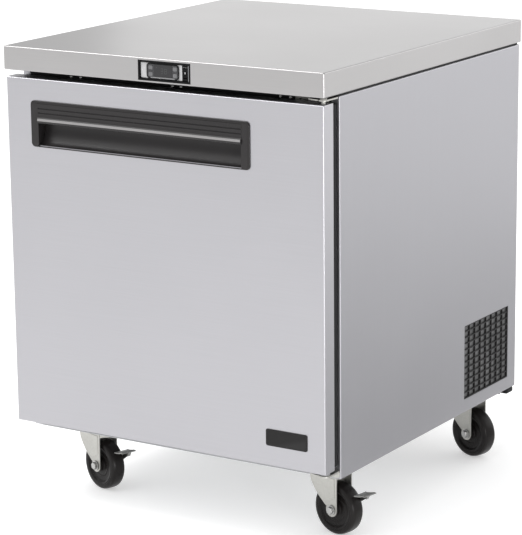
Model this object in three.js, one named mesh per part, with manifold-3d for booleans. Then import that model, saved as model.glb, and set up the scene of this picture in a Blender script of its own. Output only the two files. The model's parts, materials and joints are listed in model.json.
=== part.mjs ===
// A one-door undercounter refrigerator on casters, in millimetres, +Z up.
// The front faces -Y, and z = 0 is the floor. Each mesh is one real piece.
import * as THREE from "three";
import { mergeVertices } from "three/addons/utils/BufferGeometryUtils.js";
import Module from "manifold-3d";

const wasm = await Module();
wasm.setup();

// ---------------------------------------------------------------- driving dimensions
const WIDTH = 700; // worktop, left to right
const DEPTH = 770; // worktop, front to back
const HEIGHT = 890; // floor to worktop
const EDGE = 45; // height of the worktop's folded edge
const SHEET = 1.5; // sheet steel
const GAP = 0.3; // between pieces that touch
const FLANGE = 17; // folded flange of a side panel
const BASE_Z = 135; // underside of the cabinet, on the casters
const WALL = 48; // insulated wall
const ORIGIN_X = 10.5; // bounding-box centre, right of the cabinet's centre plane
const SNAP = 1 / 1024; // grid that vertices keep to, so that faces in one plane stay in it

// The outside of the cabinet under the worktop.
const CABINET = { half: 348, front: -328, rear: 381, top: 841 };
// The refrigerated space, with a step at the back over the machine compartment.
const CAVITY = {
  half: CABINET.half - WALL,
  front: CABINET.front + 6,
  rear: CABINET.rear - WALL - 2,
  floor: BASE_Z + WALL,
  top: CABINET.top - WALL - 1,
  stepY: 100,
  stepZ: 380,
};
const MACHINE = { front: CAVITY.stepY + WALL, top: CAVITY.stepZ - WALL };
const DOOR = { half: 347, front: -382, rear: -348, bottom: 157, top: 832 };
const HINGE = { x: 336, y: -364, pin: 4 };
const VENT = { y0: 155, y1: 345, z0: 162, z1: 312 };
const HANDLE = { x0: -290, x1: 195, z0: 703, z1: 791, rim: 3, depth: 26 };
const CONTROL = { x0: -42, x1: 72, z0: 848.5, z1: 885.5 };
const FRAME_DEPTH = 5.7; // plastic frame round the door opening
const SHELF_Z = [396, 580];
const SUCTION = { x: 180, y: 300 }; // where the suction line crosses the insulation

const CASTER = { x: 266, front: -242, rear: 307, trail: 32 };
const WHEEL = { radius: 50, half: 15, sides: 28 };

// ---------------------------------------------------------------- materials
function material(color, roughness, metalness) {
  return new THREE.MeshStandardMaterial({ color, roughness, metalness });
}
const STEEL = material(0xc3c3c7, 0.35, 1);
const POLISHED = material(0xd8d8d6, 0.25, 1);
const ZINC = material(0xb9bab5, 0.4, 1);
const GALVANIZED = material(0x9fa2a4, 0.5, 1);
const DARK_STEEL = material(0x4a4c50, 0.5, 0.8);
const ALUMINIUM = material(0xc9ccd0, 0.4, 1);
const COPPER = material(0xb87552, 0.35, 1);
const BLACK_PLASTIC = material(0x2a2829, 0.5, 0);
const GREY_PLASTIC = material(0x6b6d70, 0.45, 0);
const WHITE_PLASTIC = material(0xe6e7e8, 0.4, 0);
const RUBBER = material(0x262626, 0.75, 0);
const FOAM = material(0xe3d8a8, 0.9, 0);

// ---------------------------------------------------------------- solids
function solid(geometry) {
  const bare = geometry.index ? geometry.toNonIndexed() : geometry.clone();
  bare.deleteAttribute("normal");
  bare.deleteAttribute("uv");
  const merged = mergeVertices(bare, 1e-4);
  const snapped = merged.attributes.position.array.map((v) => Math.round(v / SNAP) * SNAP);
  const mesh = new wasm.Mesh({
    numProp: 3,
    vertProperties: snapped,
    triVerts: new Uint32Array(merged.index.array),
  });
  return new wasm.Manifold(mesh);
}

function geometryOf(manifold) {
  const mesh = manifold.getMesh();
  const positions = new THREE.BufferAttribute(mesh.vertProperties, mesh.numProp);
  const indexed = new THREE.BufferGeometry().setAttribute("position", positions);
  indexed.setIndex(new THREE.BufferAttribute(mesh.triVerts, 1));
  const flat = indexed.toNonIndexed();
  flat.computeVertexNormals();
  return flat;
}

// A solid made of first and the others joined to it.
function join(first, ...others) {
  return geometryOf(others.reduce((sum, next) => sum.add(solid(next)), solid(first)));
}

// A solid made of first with the others cut out of it.
function cut(first, ...others) {
  return geometryOf(others.reduce((rest, next) => rest.subtract(solid(next)), solid(first)));
}

// A box from its limits along each axis.
function box(x0, x1, y0, y1, z0, z1) {
  const geometry = new THREE.BoxGeometry(x1 - x0, y1 - y0, z1 - z0);
  return geometry.translate((x0 + x1) / 2, (y0 + y1) / 2, (z0 + z1) / 2);
}

function outline(points) {
  return new THREE.Shape(points.map(([a, b]) => new THREE.Vector2(a, b)));
}

function extrude(shape, depth) {
  return new THREE.ExtrudeGeometry(shape, { depth, bevelEnabled: false, curveSegments: 8 });
}

// An outline in (y, z) carried along X from x0 to x1.
function alongX(points, x0, x1) {
  const axes = new THREE.Matrix4().makeBasis(
    new THREE.Vector3(0, 1, 0),
    new THREE.Vector3(0, 0, 1),
    new THREE.Vector3(1, 0, 0),
  );
  return extrude(outline(points), x1 - x0).applyMatrix4(axes).translate(x0, 0, 0);
}

// An outline in (x, z), as points or a shape, carried along Y from y0 to y1.
function alongY(points, y0, y1) {
  const shape = points instanceof THREE.Shape ? points : outline(points);
  return extrude(shape, y1 - y0).rotateX(Math.PI / 2).translate(0, y1, 0);
}

// A disc or bar of the given radius along an axis, from low to high, centred at (a, b).
function barX(radius, x0, x1, y, z, sides = 16) {
  const bar = new THREE.CylinderGeometry(radius, radius, x1 - x0, sides);
  return bar.rotateZ(-Math.PI / 2).translate((x0 + x1) / 2, y, z);
}

function barY(radius, y0, y1, x, z, sides = 16) {
  const bar = new THREE.CylinderGeometry(radius, radius, y1 - y0, sides);
  return bar.translate(x, (y0 + y1) / 2, z);
}

function barZ(radius, z0, z1, x, y, sides = 16) {
  const bar = new THREE.CylinderGeometry(radius, radius, z1 - z0, sides);
  return bar.rotateX(Math.PI / 2).translate(x, y, (z0 + z1) / 2);
}

// A turned solid about Z from (radius, z) points that start and end on the axis.
function turned(points, sides) {
  const profile = points.map(([r, z]) => new THREE.Vector2(r, z));
  return new THREE.LatheGeometry(profile, sides).rotateX(Math.PI / 2);
}

// A block of fins along X, joined by a spine at the back, cut from one comb outline.
function finBlock(x0, x1, y0, y1, z0, z1, count) {
  const pitch = (x1 - x0) / count;
  const fin = pitch * 0.4;
  const spine = 4;
  const slots = [];
  for (let i = 0; i < count - 1; i += 1) {
    const left = x0 + i * pitch + fin;
    slots.push(box(left, left + pitch - fin, y0 - 1, y1 - spine, z0 - 1, z1 + 1));
  }
  return cut(box(x0, x1, y0, y1, z0, z1), ...slots);
}

function piece(parent, name, geometry, finish) {
  const mesh = new THREE.Mesh(geometry, finish);
  mesh.name = name;
  parent.add(mesh);
  return mesh;
}

// ---------------------------------------------------------------- worktop and cabinet
// A folded pan, open below, with a window in its front edge for the controller.
function worktop() {
  const x = WIDTH / 2;
  const y = DEPTH / 2;
  const low = HEIGHT - EDGE;
  const lip = 12;
  const hollow = box(-x + SHEET, x - SHEET, -y + SHEET, y - SHEET, low + SHEET, HEIGHT - SHEET);
  const mouth = box(-x + lip, x - lip, -y + lip, y - lip, low - 1, low + SHEET + 1);
  const window = box(
    CONTROL.x0 - GAP,
    CONTROL.x1 + GAP,
    -y - 1,
    -y + SHEET + 1,
    CONTROL.z0 - GAP,
    CONTROL.z1 + GAP,
  );
  return cut(box(-x, x, -y, y, low, HEIGHT), hollow, mouth, window);
}

// A side panel with flanges folded inwards on all four edges. side is 1 for the right one.
function sidePanel(side) {
  const { half, front, rear, top } = CABINET;
  const x0 = Math.min(side * half, side * (half - FLANGE));
  const hollow0 = Math.min(side * (half - SHEET), side * (half - FLANGE - 1));
  const hollow1 = Math.max(side * (half - SHEET), side * (half - FLANGE - 1));
  const panel = box(x0, x0 + FLANGE, front, rear, BASE_Z, top);
  const hollow = box(
    hollow0,
    hollow1,
    front + SHEET,
    rear - SHEET,
    BASE_Z + SHEET,
    top - SHEET,
  );
  if (side > 0) {
    const opening = box(half - 5, half + 5, VENT.y0, VENT.y1, VENT.z0, VENT.z1);
    return cut(panel, hollow, opening);
  }
  return cut(panel, hollow);
}

// The vent's lattice, clamped behind the opening in the right side panel.
function ventGrille() {
  const margin = 6;
  const bar = 3;
  const pitchY = 25.2;
  const pitchZ = (VENT.z1 - VENT.z0) / 12;
  const face = CABINET.half - SHEET - GAP;
  const holes = [];
  for (let y = VENT.y0; y < VENT.y1 - bar; y += pitchY) {
    const end = Math.min(y + pitchY - bar, VENT.y1);
    for (let z = VENT.z0; z < VENT.z1 - bar; z += pitchZ) {
      holes.push(box(face - 5, face + 5, y, end, z, z + pitchZ - bar));
    }
  }
  const plate = box(
    face - 2.5,
    face,
    VENT.y0 - margin,
    VENT.y1 + margin,
    VENT.z0 - margin,
    VENT.z1 + margin,
  );
  return cut(plate, ...holes);
}

// The plastic frame round the door opening, which the gasket closes on.
function frontFrame() {
  const half = CABINET.half - FLANGE - GAP;
  const { front, top } = CABINET;
  const opening = box(
    -CAVITY.half + 1,
    CAVITY.half - 1,
    front - 1,
    front + FRAME_DEPTH + 1,
    CAVITY.floor + SHEET,
    CAVITY.top - SHEET,
  );
  const plate = box(-half, half, front, front + FRAME_DEPTH, BASE_Z + SHEET + GAP, top - GAP);
  return cut(plate, opening);
}

// The side outline of the cavity, grown outwards by grow and run forwards by ahead.
function cavityOutline(grow, ahead) {
  return [
    [CAVITY.front - ahead, CAVITY.floor - grow],
    [CAVITY.stepY + grow, CAVITY.floor - grow],
    [CAVITY.stepY + grow, CAVITY.stepZ - grow],
    [CAVITY.rear + grow, CAVITY.stepZ - grow],
    [CAVITY.rear + grow, CAVITY.top + grow],
    [CAVITY.front - ahead, CAVITY.top + grow],
  ];
}

function suctionHole() {
  return barZ(8, MACHINE.top - 5, CAVITY.stepZ + 5, SUCTION.x, SUCTION.y, 12);
}

function liner() {
  const outer = alongX(cavityOutline(0, 0), -CAVITY.half, CAVITY.half);
  const inside = CAVITY.half - SHEET;
  const inner = alongX(cavityOutline(-SHEET, 5), -inside, inside);
  return cut(outer, inner, suctionHole());
}

// The foam between the panels and the liner, and the core that it makes inside the worktop.
function insulation() {
  const side = CABINET.half - SHEET - GAP;
  const inner = CABINET.half - FLANGE - GAP;
  const rear = CABINET.rear - SHEET - GAP;
  const top = CABINET.top - SHEET - GAP;
  const body = box(-side, side, CAVITY.front, rear, BASE_Z + SHEET + GAP, top);
  const core = box(-inner, inner, CAVITY.front, DEPTH / 2 - 13, top - 1, HEIGHT - SHEET - GAP);
  const room = CAVITY.half + GAP;
  return cut(
    join(body, core),
    alongX(cavityOutline(GAP, 5), -room, room),
    box(-CABINET.half, CABINET.half, MACHINE.front, rear + 1, BASE_Z, MACHINE.top),
    suctionHole(),
  );
}

// The base of the machine compartment, with a channel folded down along its back edge.
function machineTray() {
  const half = CABINET.half - FLANGE - GAP;
  const rear = CABINET.rear - SHEET - GAP;
  const drop = 13;
  const channel = 33;
  const sheet = 2;
  return cut(
    join(
      box(-half, half, MACHINE.front, rear, BASE_Z, BASE_Z + sheet),
      box(-half, half, rear - channel, rear, BASE_Z - drop, BASE_Z + sheet),
    ),
    box(-half - 1, half + 1, rear - channel + sheet, rear - sheet, BASE_Z - drop - 1, BASE_Z),
  );
}

// The removable back cover of the machine compartment, with three columns of slots.
function rearCover() {
  const half = CABINET.half - FLANGE - GAP;
  const { rear } = CABINET;
  const slots = [];
  for (const x of [-200, 0, 200]) {
    for (let row = 0; row < 7; row += 1) {
      const z = 196 + row * 17;
      slots.push(box(x - 75, x + 75, rear - 5, rear + 5, z, z + 6));
    }
  }
  const sheet = box(-half, half, rear - SHEET, rear, BASE_Z + 2 + GAP, MACHINE.top - GAP);
  return cut(sheet, ...slots, barY(9 + GAP, rear - 5, rear + 5, GLAND.x, GLAND.z));
}

const GLAND = { x: -250, z: 168 };
function cordGland() {
  const { rear } = CABINET;
  return cut(
    join(
      barY(9, rear - 12, rear + GAP + 0.5, GLAND.x, GLAND.z),
      barY(13, rear + GAP, rear + 3.5, GLAND.x, GLAND.z),
    ),
    barY(4, rear - 13, rear + 5, GLAND.x, GLAND.z, 12),
  );
}

function buildCabinet() {
  const cabinet = new THREE.Group();
  const inner = CABINET.half - FLANGE - GAP;
  const { front, rear, top } = CABINET;
  piece(cabinet, "worktop", worktop(), POLISHED);
  piece(cabinet, "side_panel_left", sidePanel(-1), STEEL);
  piece(cabinet, "side_panel_right", sidePanel(1), STEEL);
  piece(cabinet, "vent_grille", ventGrille(), BLACK_PLASTIC);
  piece(cabinet, "front_frame", frontFrame(), BLACK_PLASTIC);
  piece(cabinet, "liner", liner(), ALUMINIUM);
  piece(cabinet, "insulation_foam", insulation(), FOAM);
  piece(cabinet, "machine_tray", machineTray(), DARK_STEEL);
  piece(cabinet, "rear_cover", rearCover(), GALVANIZED);
  piece(cabinet, "cord_gland", cordGland(), BLACK_PLASTIC);
  const backSheet = box(
    -inner,
    inner,
    rear - SHEET,
    rear,
    MACHINE.top,
    top - SHEET - GAP,
  );
  piece(cabinet, "back_panel", backSheet, GALVANIZED);
  const baseSheet = box(
    -inner,
    inner,
    front,
    MACHINE.front - GAP,
    BASE_Z,
    BASE_Z + SHEET,
  );
  piece(cabinet, "base_plate", baseSheet, GALVANIZED);
  return cabinet;
}

// ---------------------------------------------------------------- shelves
// A wire shelf: a square ring, two cross rails and the wires that the food stands on.
function wireShelf() {
  const half = 283;
  const y0 = -312;
  const y1 = 224;
  const ring = 6;
  const wire = 3;
  const pieces = [
    box(-half, -half + ring, y0, y1, 0, ring),
    box(half - ring, half, y0, y1, 0, ring),
    box(-half, half, y1 - ring, y1, 0, ring),
  ];
  for (const y of [y0 + 170, y1 - 170]) {
    pieces.push(box(-half, half, y - 2.5, y + 2.5, 0, ring - 1));
  }
  const count = 15;
  for (let i = 1; i < count; i += 1) {
    const x = -half + (2 * half * i) / count;
    pieces.push(box(x - wire / 2, x + wire / 2, y0 + 1, y1 - 1, ring - 2, ring + 1));
  }
  return join(box(-half, half, y0, y0 + ring, 0, ring), ...pieces);
}

// A rack on the liner's right wall: two uprights and a ledge under each shelf.
function shelfRack() {
  const wall = CAVITY.half - SHEET - GAP;
  const ledges = SHELF_Z.map((z) => box(wall - 22, wall, -305, 218, z - 5, z - GAP));
  const rack = join(
    box(wall - 10, wall, -262, -238, CAVITY.floor + 20, 760),
    box(wall - 10, wall, 158, 182, CAVITY.stepZ + 5, 760),
    ...ledges,
  );
  return rack;
}

function buildShelves() {
  const shelves = new THREE.Group();
  const rack = shelfRack();
  piece(shelves, "shelf_rack_right", rack, STEEL);
  piece(shelves, "shelf_rack_left", geometryOf(solid(rack).mirror([1, 0, 0])), STEEL);
  const wires = wireShelf();
  piece(shelves, "shelf_lower", wires, STEEL).position.z = SHELF_Z[0];
  piece(shelves, "shelf_upper", wires.clone(), STEEL).position.z = SHELF_Z[1];
  return shelves;
}

// ---------------------------------------------------------------- refrigeration
// An axial fan about Z at the origin: a hub and pitched blades.
function fanBlades(radius, hub, depth, blades) {
  const pieces = [];
  for (let i = 0; i < blades; i += 1) {
    const blade = box(hub - 3, radius, -radius * 0.22, radius * 0.22, -0.8, 0.8);
    blade.rotateX(0.45).rotateZ((i * 2 * Math.PI) / blades);
    pieces.push(blade);
  }
  const rim = barZ(radius, -depth / 2, depth / 2, 0, 0, 24);
  const wheel = solid(join(barZ(hub, -depth / 2, depth / 2, 0, 0, 16), ...pieces));
  return geometryOf(wheel.intersect(solid(rim)));
}

// A sealed compressor shell on its foot plate and four rubber mounts.
function compressor() {
  const mounts = [-82, 82].flatMap((x) => [-58, 58].map((y) => barZ(9, 0, 9, x, y, 12)));
  const shell = [
    [0, 6],
    [68, 6],
    [78, 20],
    [78, 96],
    [70, 122],
    [42, 142],
    [0, 148],
  ];
  return join(turned(shell, 24), box(-95, 95, -68, 68, 6, 9), ...mounts);
}

// The condenser fan's plate, duct, three arms and motor, about X through the origin.
function condenserFanHousing() {
  const plate = cut(box(12, 15, -95, 95, -86, 88), barX(74, 10, 17, 0, 0, 28));
  const duct = cut(barX(77, -10, 13, 0, 0, 28), barX(74, -11, 17, 0, 0, 28));
  const arms = [0, 1, 2].map((i) =>
    box(-38, -34, -5, 5, 0, 80).rotateX((i * 2 * Math.PI) / 3),
  );
  const struts = [0, 1, 2].map((i) =>
    box(-38, -6, -5, 5, 75.5, 80).rotateX((i * 2 * Math.PI) / 3),
  );
  return join(plate, duct, ...arms, ...struts, barX(24, -46, -14, 0, 0, 20));
}

// The cover over the evaporator on the cavity's back wall: an open-backed sheet box.
function evaporatorCover() {
  const rear = CAVITY.rear - SHEET - GAP;
  const x = 250;
  const slots = [];
  for (let i = 0; i < 8; i += 1) {
    const left = -214 + i * 44;
    slots.push(box(left, left + 30, 250, 275, 555, 568));
    slots.push(box(left + 44, left + 74, 250, 290, 765, 780));
  }
  return cut(
    box(-x, x, 236, rear, 562, 772),
    box(-x + SHEET, x - SHEET, 236 + SHEET, rear + 5, 562 + SHEET, 772 - SHEET),
    barY(EVAPORATOR_FAN.radius + 5, 230, 240, EVAPORATOR_FAN.x, EVAPORATOR_FAN.z, 36),
    box(SUCTION.x - 9, SUCTION.x + 9, SUCTION.y - 9, rear + 5, 555, 570),
    ...slots,
  );
}

const EVAPORATOR_FAN = { x: 0, y: 243, z: 668, radius: 60 };
const CONDENSER_FAN = { x: 231, y: 265, z: 232, radius: 70 };

function evaporatorMotor() {
  const { x, y, z } = EVAPORATOR_FAN;
  return join(barY(22, y + 7, y + 27, x, z, 20), box(-248, 248, y + 22, y + 25, z - 12, z + 12));
}

// The suction line, from under the evaporator through the step to the compressor.
function suctionLine() {
  const { x, y } = SUCTION;
  const route = [
    [x, y, 583],
    [x, y, 500],
    [x, y, 400],
    [x, y, 340],
    [x, y, 326],
    [x - 8, y, 310],
    [x - 32, y, 303],
    [60, y, 303],
    [-10, y, 303],
    [-32, y - 6, 296],
    [-40, y - 22, 272],
    [-44, 264, 250],
    [-56, 262, 236],
    [-71, 262, 234],
  ];
  const path = new THREE.CatmullRomCurve3(route.map((p) => new THREE.Vector3(...p)));
  const section = new THREE.Shape();
  section.absarc(0, 0, 5, 0, 2 * Math.PI, false);
  return new THREE.ExtrudeGeometry(section, {
    steps: 40,
    curveSegments: 4,
    bevelEnabled: false,
    extrudePath: path,
  });
}

function buildRefrigeration() {
  const plant = new THREE.Group();
  const shell = piece(plant, "compressor", compressor(), BLACK_PLASTIC);
  shell.position.set(-150, 262, BASE_Z + 2 + GAP);
  const coil = finBlock(-93, 93, -27, 27, -80, 82, 26);
  const condenser = piece(plant, "condenser_coil", coil, ALUMINIUM);
  condenser.rotation.z = Math.PI / 2;
  condenser.position.set(280, CONDENSER_FAN.y, CONDENSER_FAN.z);
  const housing = piece(plant, "condenser_fan_housing", condenserFanHousing(), BLACK_PLASTIC);
  housing.position.set(CONDENSER_FAN.x, CONDENSER_FAN.y, CONDENSER_FAN.z);
  const blades = fanBlades(CONDENSER_FAN.radius, 18, 14, 5).rotateY(Math.PI / 2);
  const fan = piece(plant, "condenser_fan", blades, GREY_PLASTIC);
  fan.position.set(CONDENSER_FAN.x, CONDENSER_FAN.y, CONDENSER_FAN.z);

  const evaporator = finBlock(-205, 205, 280, 325, 590, 752, 30);
  piece(plant, "evaporator_coil", evaporator, ALUMINIUM);
  piece(plant, "evaporator_cover", evaporatorCover(), WHITE_PLASTIC);
  piece(plant, "evaporator_fan_motor", evaporatorMotor(), GREY_PLASTIC);
  const inner = fanBlades(EVAPORATOR_FAN.radius, 16, 9, 5).rotateX(Math.PI / 2);
  const innerFan = piece(plant, "evaporator_fan", inner, GREY_PLASTIC);
  innerFan.position.set(EVAPORATOR_FAN.x, EVAPORATOR_FAN.y, EVAPORATOR_FAN.z);
  piece(plant, "suction_line", suctionLine(), COPPER);
  return plant;
}

// ---------------------------------------------------------------- door
const PLUG = { half: 284, bottom: 203, top: 775, face: -321, wall: 2.5 };

function doorSkin() {
  const { half, front, rear, bottom, top } = DOOR;
  return cut(
    box(-half, half, front, rear, bottom, top),
    box(-half + SHEET, half - SHEET, front + SHEET, rear + 1, bottom + SHEET, top - SHEET),
    box(
      HANDLE.x0 + HANDLE.rim - GAP,
      HANDLE.x1 - HANDLE.rim + GAP,
      front - 1,
      front + SHEET + 1,
      HANDLE.z0 + HANDLE.rim - GAP,
      HANDLE.z1 - HANDLE.rim + GAP,
    ),
    barZ(HINGE.pin + 0.5, top - 5, top + 1, HINGE.x, HINGE.y, 16),
    barZ(HINGE.pin + 1.5, bottom - 1, bottom + 5, HINGE.x, HINGE.y, 16),
  );
}

// Foam that fills the skin and the liner's raised centre, round the handle and the hinges.
function doorFoam() {
  const { half, front, rear, bottom, top } = DOOR;
  const inner = half - SHEET - GAP;
  const back = rear - 2.5 - GAP;
  const plugHalf = PLUG.half - PLUG.wall - GAP;
  const plugFoam = box(
    -plugHalf,
    plugHalf,
    back - 1,
    PLUG.face - PLUG.wall - GAP,
    PLUG.bottom + PLUG.wall + GAP,
    PLUG.top - PLUG.wall - GAP,
  );
  const handleRoom = box(
    HANDLE.x0 + HANDLE.rim - 2 * GAP,
    HANDLE.x1 - HANDLE.rim + 2 * GAP,
    front,
    front - 1 + HANDLE.depth + GAP,
    HANDLE.z0 + HANDLE.rim - 2 * GAP,
    HANDLE.z1 - HANDLE.rim + 2 * GAP,
  );
  const sheets = SHEET + GAP;
  const slab = box(-inner, inner, front + sheets, back, bottom + sheets, top - sheets);
  return cut(
    join(slab, plugFoam),
    handleRoom,
    box(HINGE.x - 11, half, HINGE.y - 10, HINGE.y + 10, top - 24, top),
    box(HINGE.x - 11, half, HINGE.y - 10, HINGE.y + 10, bottom, bottom + 106),
  );
}

// The door's inner sheet, with a raised centre that stands in the opening.
function doorLiner() {
  const inner = DOOR.half - SHEET - GAP;
  const z0 = DOOR.bottom + SHEET + GAP;
  const z1 = DOOR.top - SHEET - GAP;
  const { half, bottom, top, face, wall } = PLUG;
  return cut(
    join(
      box(-inner, inner, DOOR.rear - 2.5, DOOR.rear, z0, z1),
      box(-half, half, DOOR.rear - 2.5, face, bottom, top),
    ),
    box(
      -half + wall,
      half - wall,
      DOOR.rear - 5,
      face - wall,
      bottom + wall,
      top - wall,
    ),
  );
}

// The magnetic gasket: a flat base ring and a narrower ring that meets the cabinet.
function doorGasket() {
  const outer = DOOR.half - 3.5;
  const inner = 322;
  const z0 = DOOR.bottom + 3.5;
  const z1 = DOOR.top - 3.5;
  const depth = z1 - z0;
  const back = DOOR.rear + GAP;
  const step = -334;
  const face = CABINET.front - 1;
  const inset = 2.5;
  const wide = box(-outer, outer, back, step, z0, z1);
  const narrow = box(
    -outer + inset,
    outer - inset,
    step - 1,
    face,
    z0 + inset,
    z0 + depth - inset,
  );
  const ring = outer - inner;
  const opening = box(-inner, inner, back - 1, face + 1, z0 + ring, z1 - ring);
  return cut(join(wide, narrow), opening);
}

// A recessed pull: a rim on the skin, a hood with a lip, and a scoop for the fingers.
function doorHandle() {
  const face = DOOR.front - 1.5;
  const { x0, x1, z0, z1, rim, depth } = HANDLE;
  const floor = face + depth;
  const end = 16;
  const lipZ = z0 + 44;
  const rimPlate = box(x0, x1, face, DOOR.front - GAP, z0, z1);
  const block = box(x0 + rim, x1 - rim, face, floor, z0 + rim, z1 - rim);
  const lip = alongX(
    [
      [face + 1, lipZ + 14],
      [face - 1, lipZ + 10],
      [face - 1.5, lipZ + 6],
      [face - 1, lipZ + 2],
      [face + 1, lipZ],
    ],
    x0 + end,
    x1 - end,
  );
  const pocket = alongX(
    [
      [face - 5, lipZ - 0.5],
      [face - 5, z0 + 9],
      [face, z0 + 9],
      [face + 8, z0 + 12],
      [face + 16, z0 + 20],
      [face + 21, z0 + 31],
      [face + 22, lipZ],
      [face + 22, z1 - 20],
      [face + 10, z1 - 20],
      [face + 7, lipZ - 0.5],
    ],
    x0 + end,
    x1 - end,
  );
  const grooves = [13, 22].map((down) =>
    box(x0 + end, x1 - end, face - 1, face + 1, z1 - down - 1, z1 - down + 1),
  );
  return cut(join(rimPlate, block, lip), pocket, ...grooves);
}

// A plain plate with rounded corners, low on the door's hinge side.
function badgePlate() {
  const radius = 5;
  const x0 = 222;
  const x1 = 310;
  const z0 = 196;
  const z1 = 228;
  const shape = new THREE.Shape();
  shape.absarc(x0 + radius, z0 + radius, radius, Math.PI, 1.5 * Math.PI, false);
  shape.absarc(x1 - radius, z0 + radius, radius, 1.5 * Math.PI, 2 * Math.PI, false);
  shape.absarc(x1 - radius, z1 - radius, radius, 0, 0.5 * Math.PI, false);
  shape.absarc(x0 + radius, z1 - radius, radius, 0.5 * Math.PI, Math.PI, false);
  return alongY(shape, DOOR.front - 1.7, DOOR.front - GAP);
}

// The self-closing cartridge in the door's bottom corner, which turns on the lower pin.
function closerCartridge() {
  const low = DOOR.bottom + SHEET + GAP;
  return cut(
    barZ(8.6, low, low + 100, HINGE.x, HINGE.y, 20),
    barZ(HINGE.pin + 0.4, low - 1, low + 30, HINGE.x, HINGE.y, 16),
  );
}

// A hinge bracket: a flange on the cabinet's front, an arm under or over the door, a pin.
function hingeBracket(flangeLow, flangeHigh, armLow, armHigh, pinLow, pinHigh) {
  const face = CABINET.front - GAP;
  const right = 346;
  return join(
    box(258, right, face - 2.5, face, flangeLow, flangeHigh),
    box(300, right, -377, face, armLow, armHigh),
    barZ(HINGE.pin, pinLow, pinHigh, HINGE.x, HINGE.y, 16),
  );
}

function buildDoor() {
  const door = new THREE.Group();
  piece(door, "door_skin", doorSkin(), STEEL);
  piece(door, "door_foam", doorFoam(), FOAM);
  piece(door, "door_liner", doorLiner(), ALUMINIUM);
  piece(door, "door_gasket", doorGasket(), RUBBER);
  piece(door, "door_handle", doorHandle(), BLACK_PLASTIC);
  piece(door, "badge_plate", badgePlate(), BLACK_PLASTIC);
  piece(door, "closer_cartridge", closerCartridge(), GREY_PLASTIC);
  return door;
}

function buildHinges() {
  const hinges = new THREE.Group();
  const top = DOOR.top + 5;
  const low = DOOR.bottom - 5;
  const upper = hingeBracket(829, top + 3, top, top + 3, DOOR.top - 14, top + 1);
  const lower = hingeBracket(138, low, low - 3.5, low, low - 1, DOOR.bottom + 20);
  piece(hinges, "top_hinge_bracket", upper, ZINC);
  piece(hinges, "bottom_hinge_bracket", lower, ZINC);
  return hinges;
}

// ---------------------------------------------------------------- controller
const CONTROL_FACE = -DEPTH / 2;
const KEYS = { width: 9, height: 7.5, depth: 2.2, columns: [-14.5, 38.5], rows: [873, 861] };

function bezel() {
  const { x0, x1, z0, z1 } = CONTROL;
  return cut(
    box(x0, x1, CONTROL_FACE - 0.4, CONTROL_FACE + 8, z0, z1),
    box(x0 + 4, x1 - 4, CONTROL_FACE - 1, CONTROL_FACE + 9, z0 + 4, z1 - 4),
  );
}

// The backing plate inside the bezel, with the instrument's case behind it.
function controllerBody() {
  const { x0, x1, z0, z1 } = CONTROL;
  const inset = 4 + GAP;
  const face = CONTROL_FACE + 2.8;
  return join(
    cut(
      box(x0 + inset, x1 - inset, face, face + 2, z0 + inset, z1 - inset),
      box(54, 66.5, face - 1, face + 3, 856.5, 877.5),
    ),
    box(-22, 45, face + 1, face + 42, 855, 879),
  );
}

// The instrument's front, with a window recess and holes for the keys.
function fascia() {
  const face = CONTROL_FACE + 0.5;
  const back = CONTROL_FACE + 2.5;
  const holes = [];
  for (const x of KEYS.columns) {
    for (const z of KEYS.rows) {
      const halfW = KEYS.width / 2 + GAP;
      const halfH = KEYS.height / 2 + GAP;
      holes.push(box(x - halfW, x + halfW, face - 1, back + 1, z - halfH, z + halfH));
    }
  }
  const recess = box(-5, 31, face - 1, face + 0.5, 857, 877.5);
  return cut(box(-23, 46, face, back, 853.5, 880.8), recess, ...holes);
}

// A power rocker about its own pivot, tilted so that its upper half stands in.
function rocker() {
  return alongX(
    [
      [4, -7],
      [-5, -9.2],
      [-4.2, 0],
      [-5, 9.2],
      [4, 7],
    ],
    -5.8,
    5.8,
  );
}

function buildController() {
  const control = new THREE.Group();
  piece(control, "controller_bezel", bezel(), BLACK_PLASTIC);
  piece(control, "controller_body", controllerBody(), WHITE_PLASTIC);
  piece(control, "controller_fascia", fascia(), GREY_PLASTIC);
  const { width, height, depth, columns, rows } = KEYS;
  const names = [
    ["key_set", "key_light"],
    ["key_up", "key_down"],
  ];
  columns.forEach((x, column) => {
    rows.forEach((z, row) => {
      const cap = new THREE.BoxGeometry(width, depth, height);
      const key = piece(control, names[column][row], cap, GREY_PLASTIC);
      key.position.set(x, CONTROL_FACE + depth / 2 - 0.2, z);
    });
  });
  const power = piece(control, "power_rocker", rocker(), BLACK_PLASTIC);
  power.position.set(60.25, CONTROL_FACE + 7, 867);
  power.rotation.x = THREE.MathUtils.degToRad(-7);
  return control;
}

// ---------------------------------------------------------------- casters
// Each caster is drawn about its swivel axis, with the wheel trailing along its own +X.
function casterPlate() {
  return join(
    box(-46, 46, -33, 33, 131.5, BASE_Z - GAP),
    barZ(6, 112, 132, 0, 0, 16),
    barZ(10, 109, 112.5, 0, 0, 16),
  );
}

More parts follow.
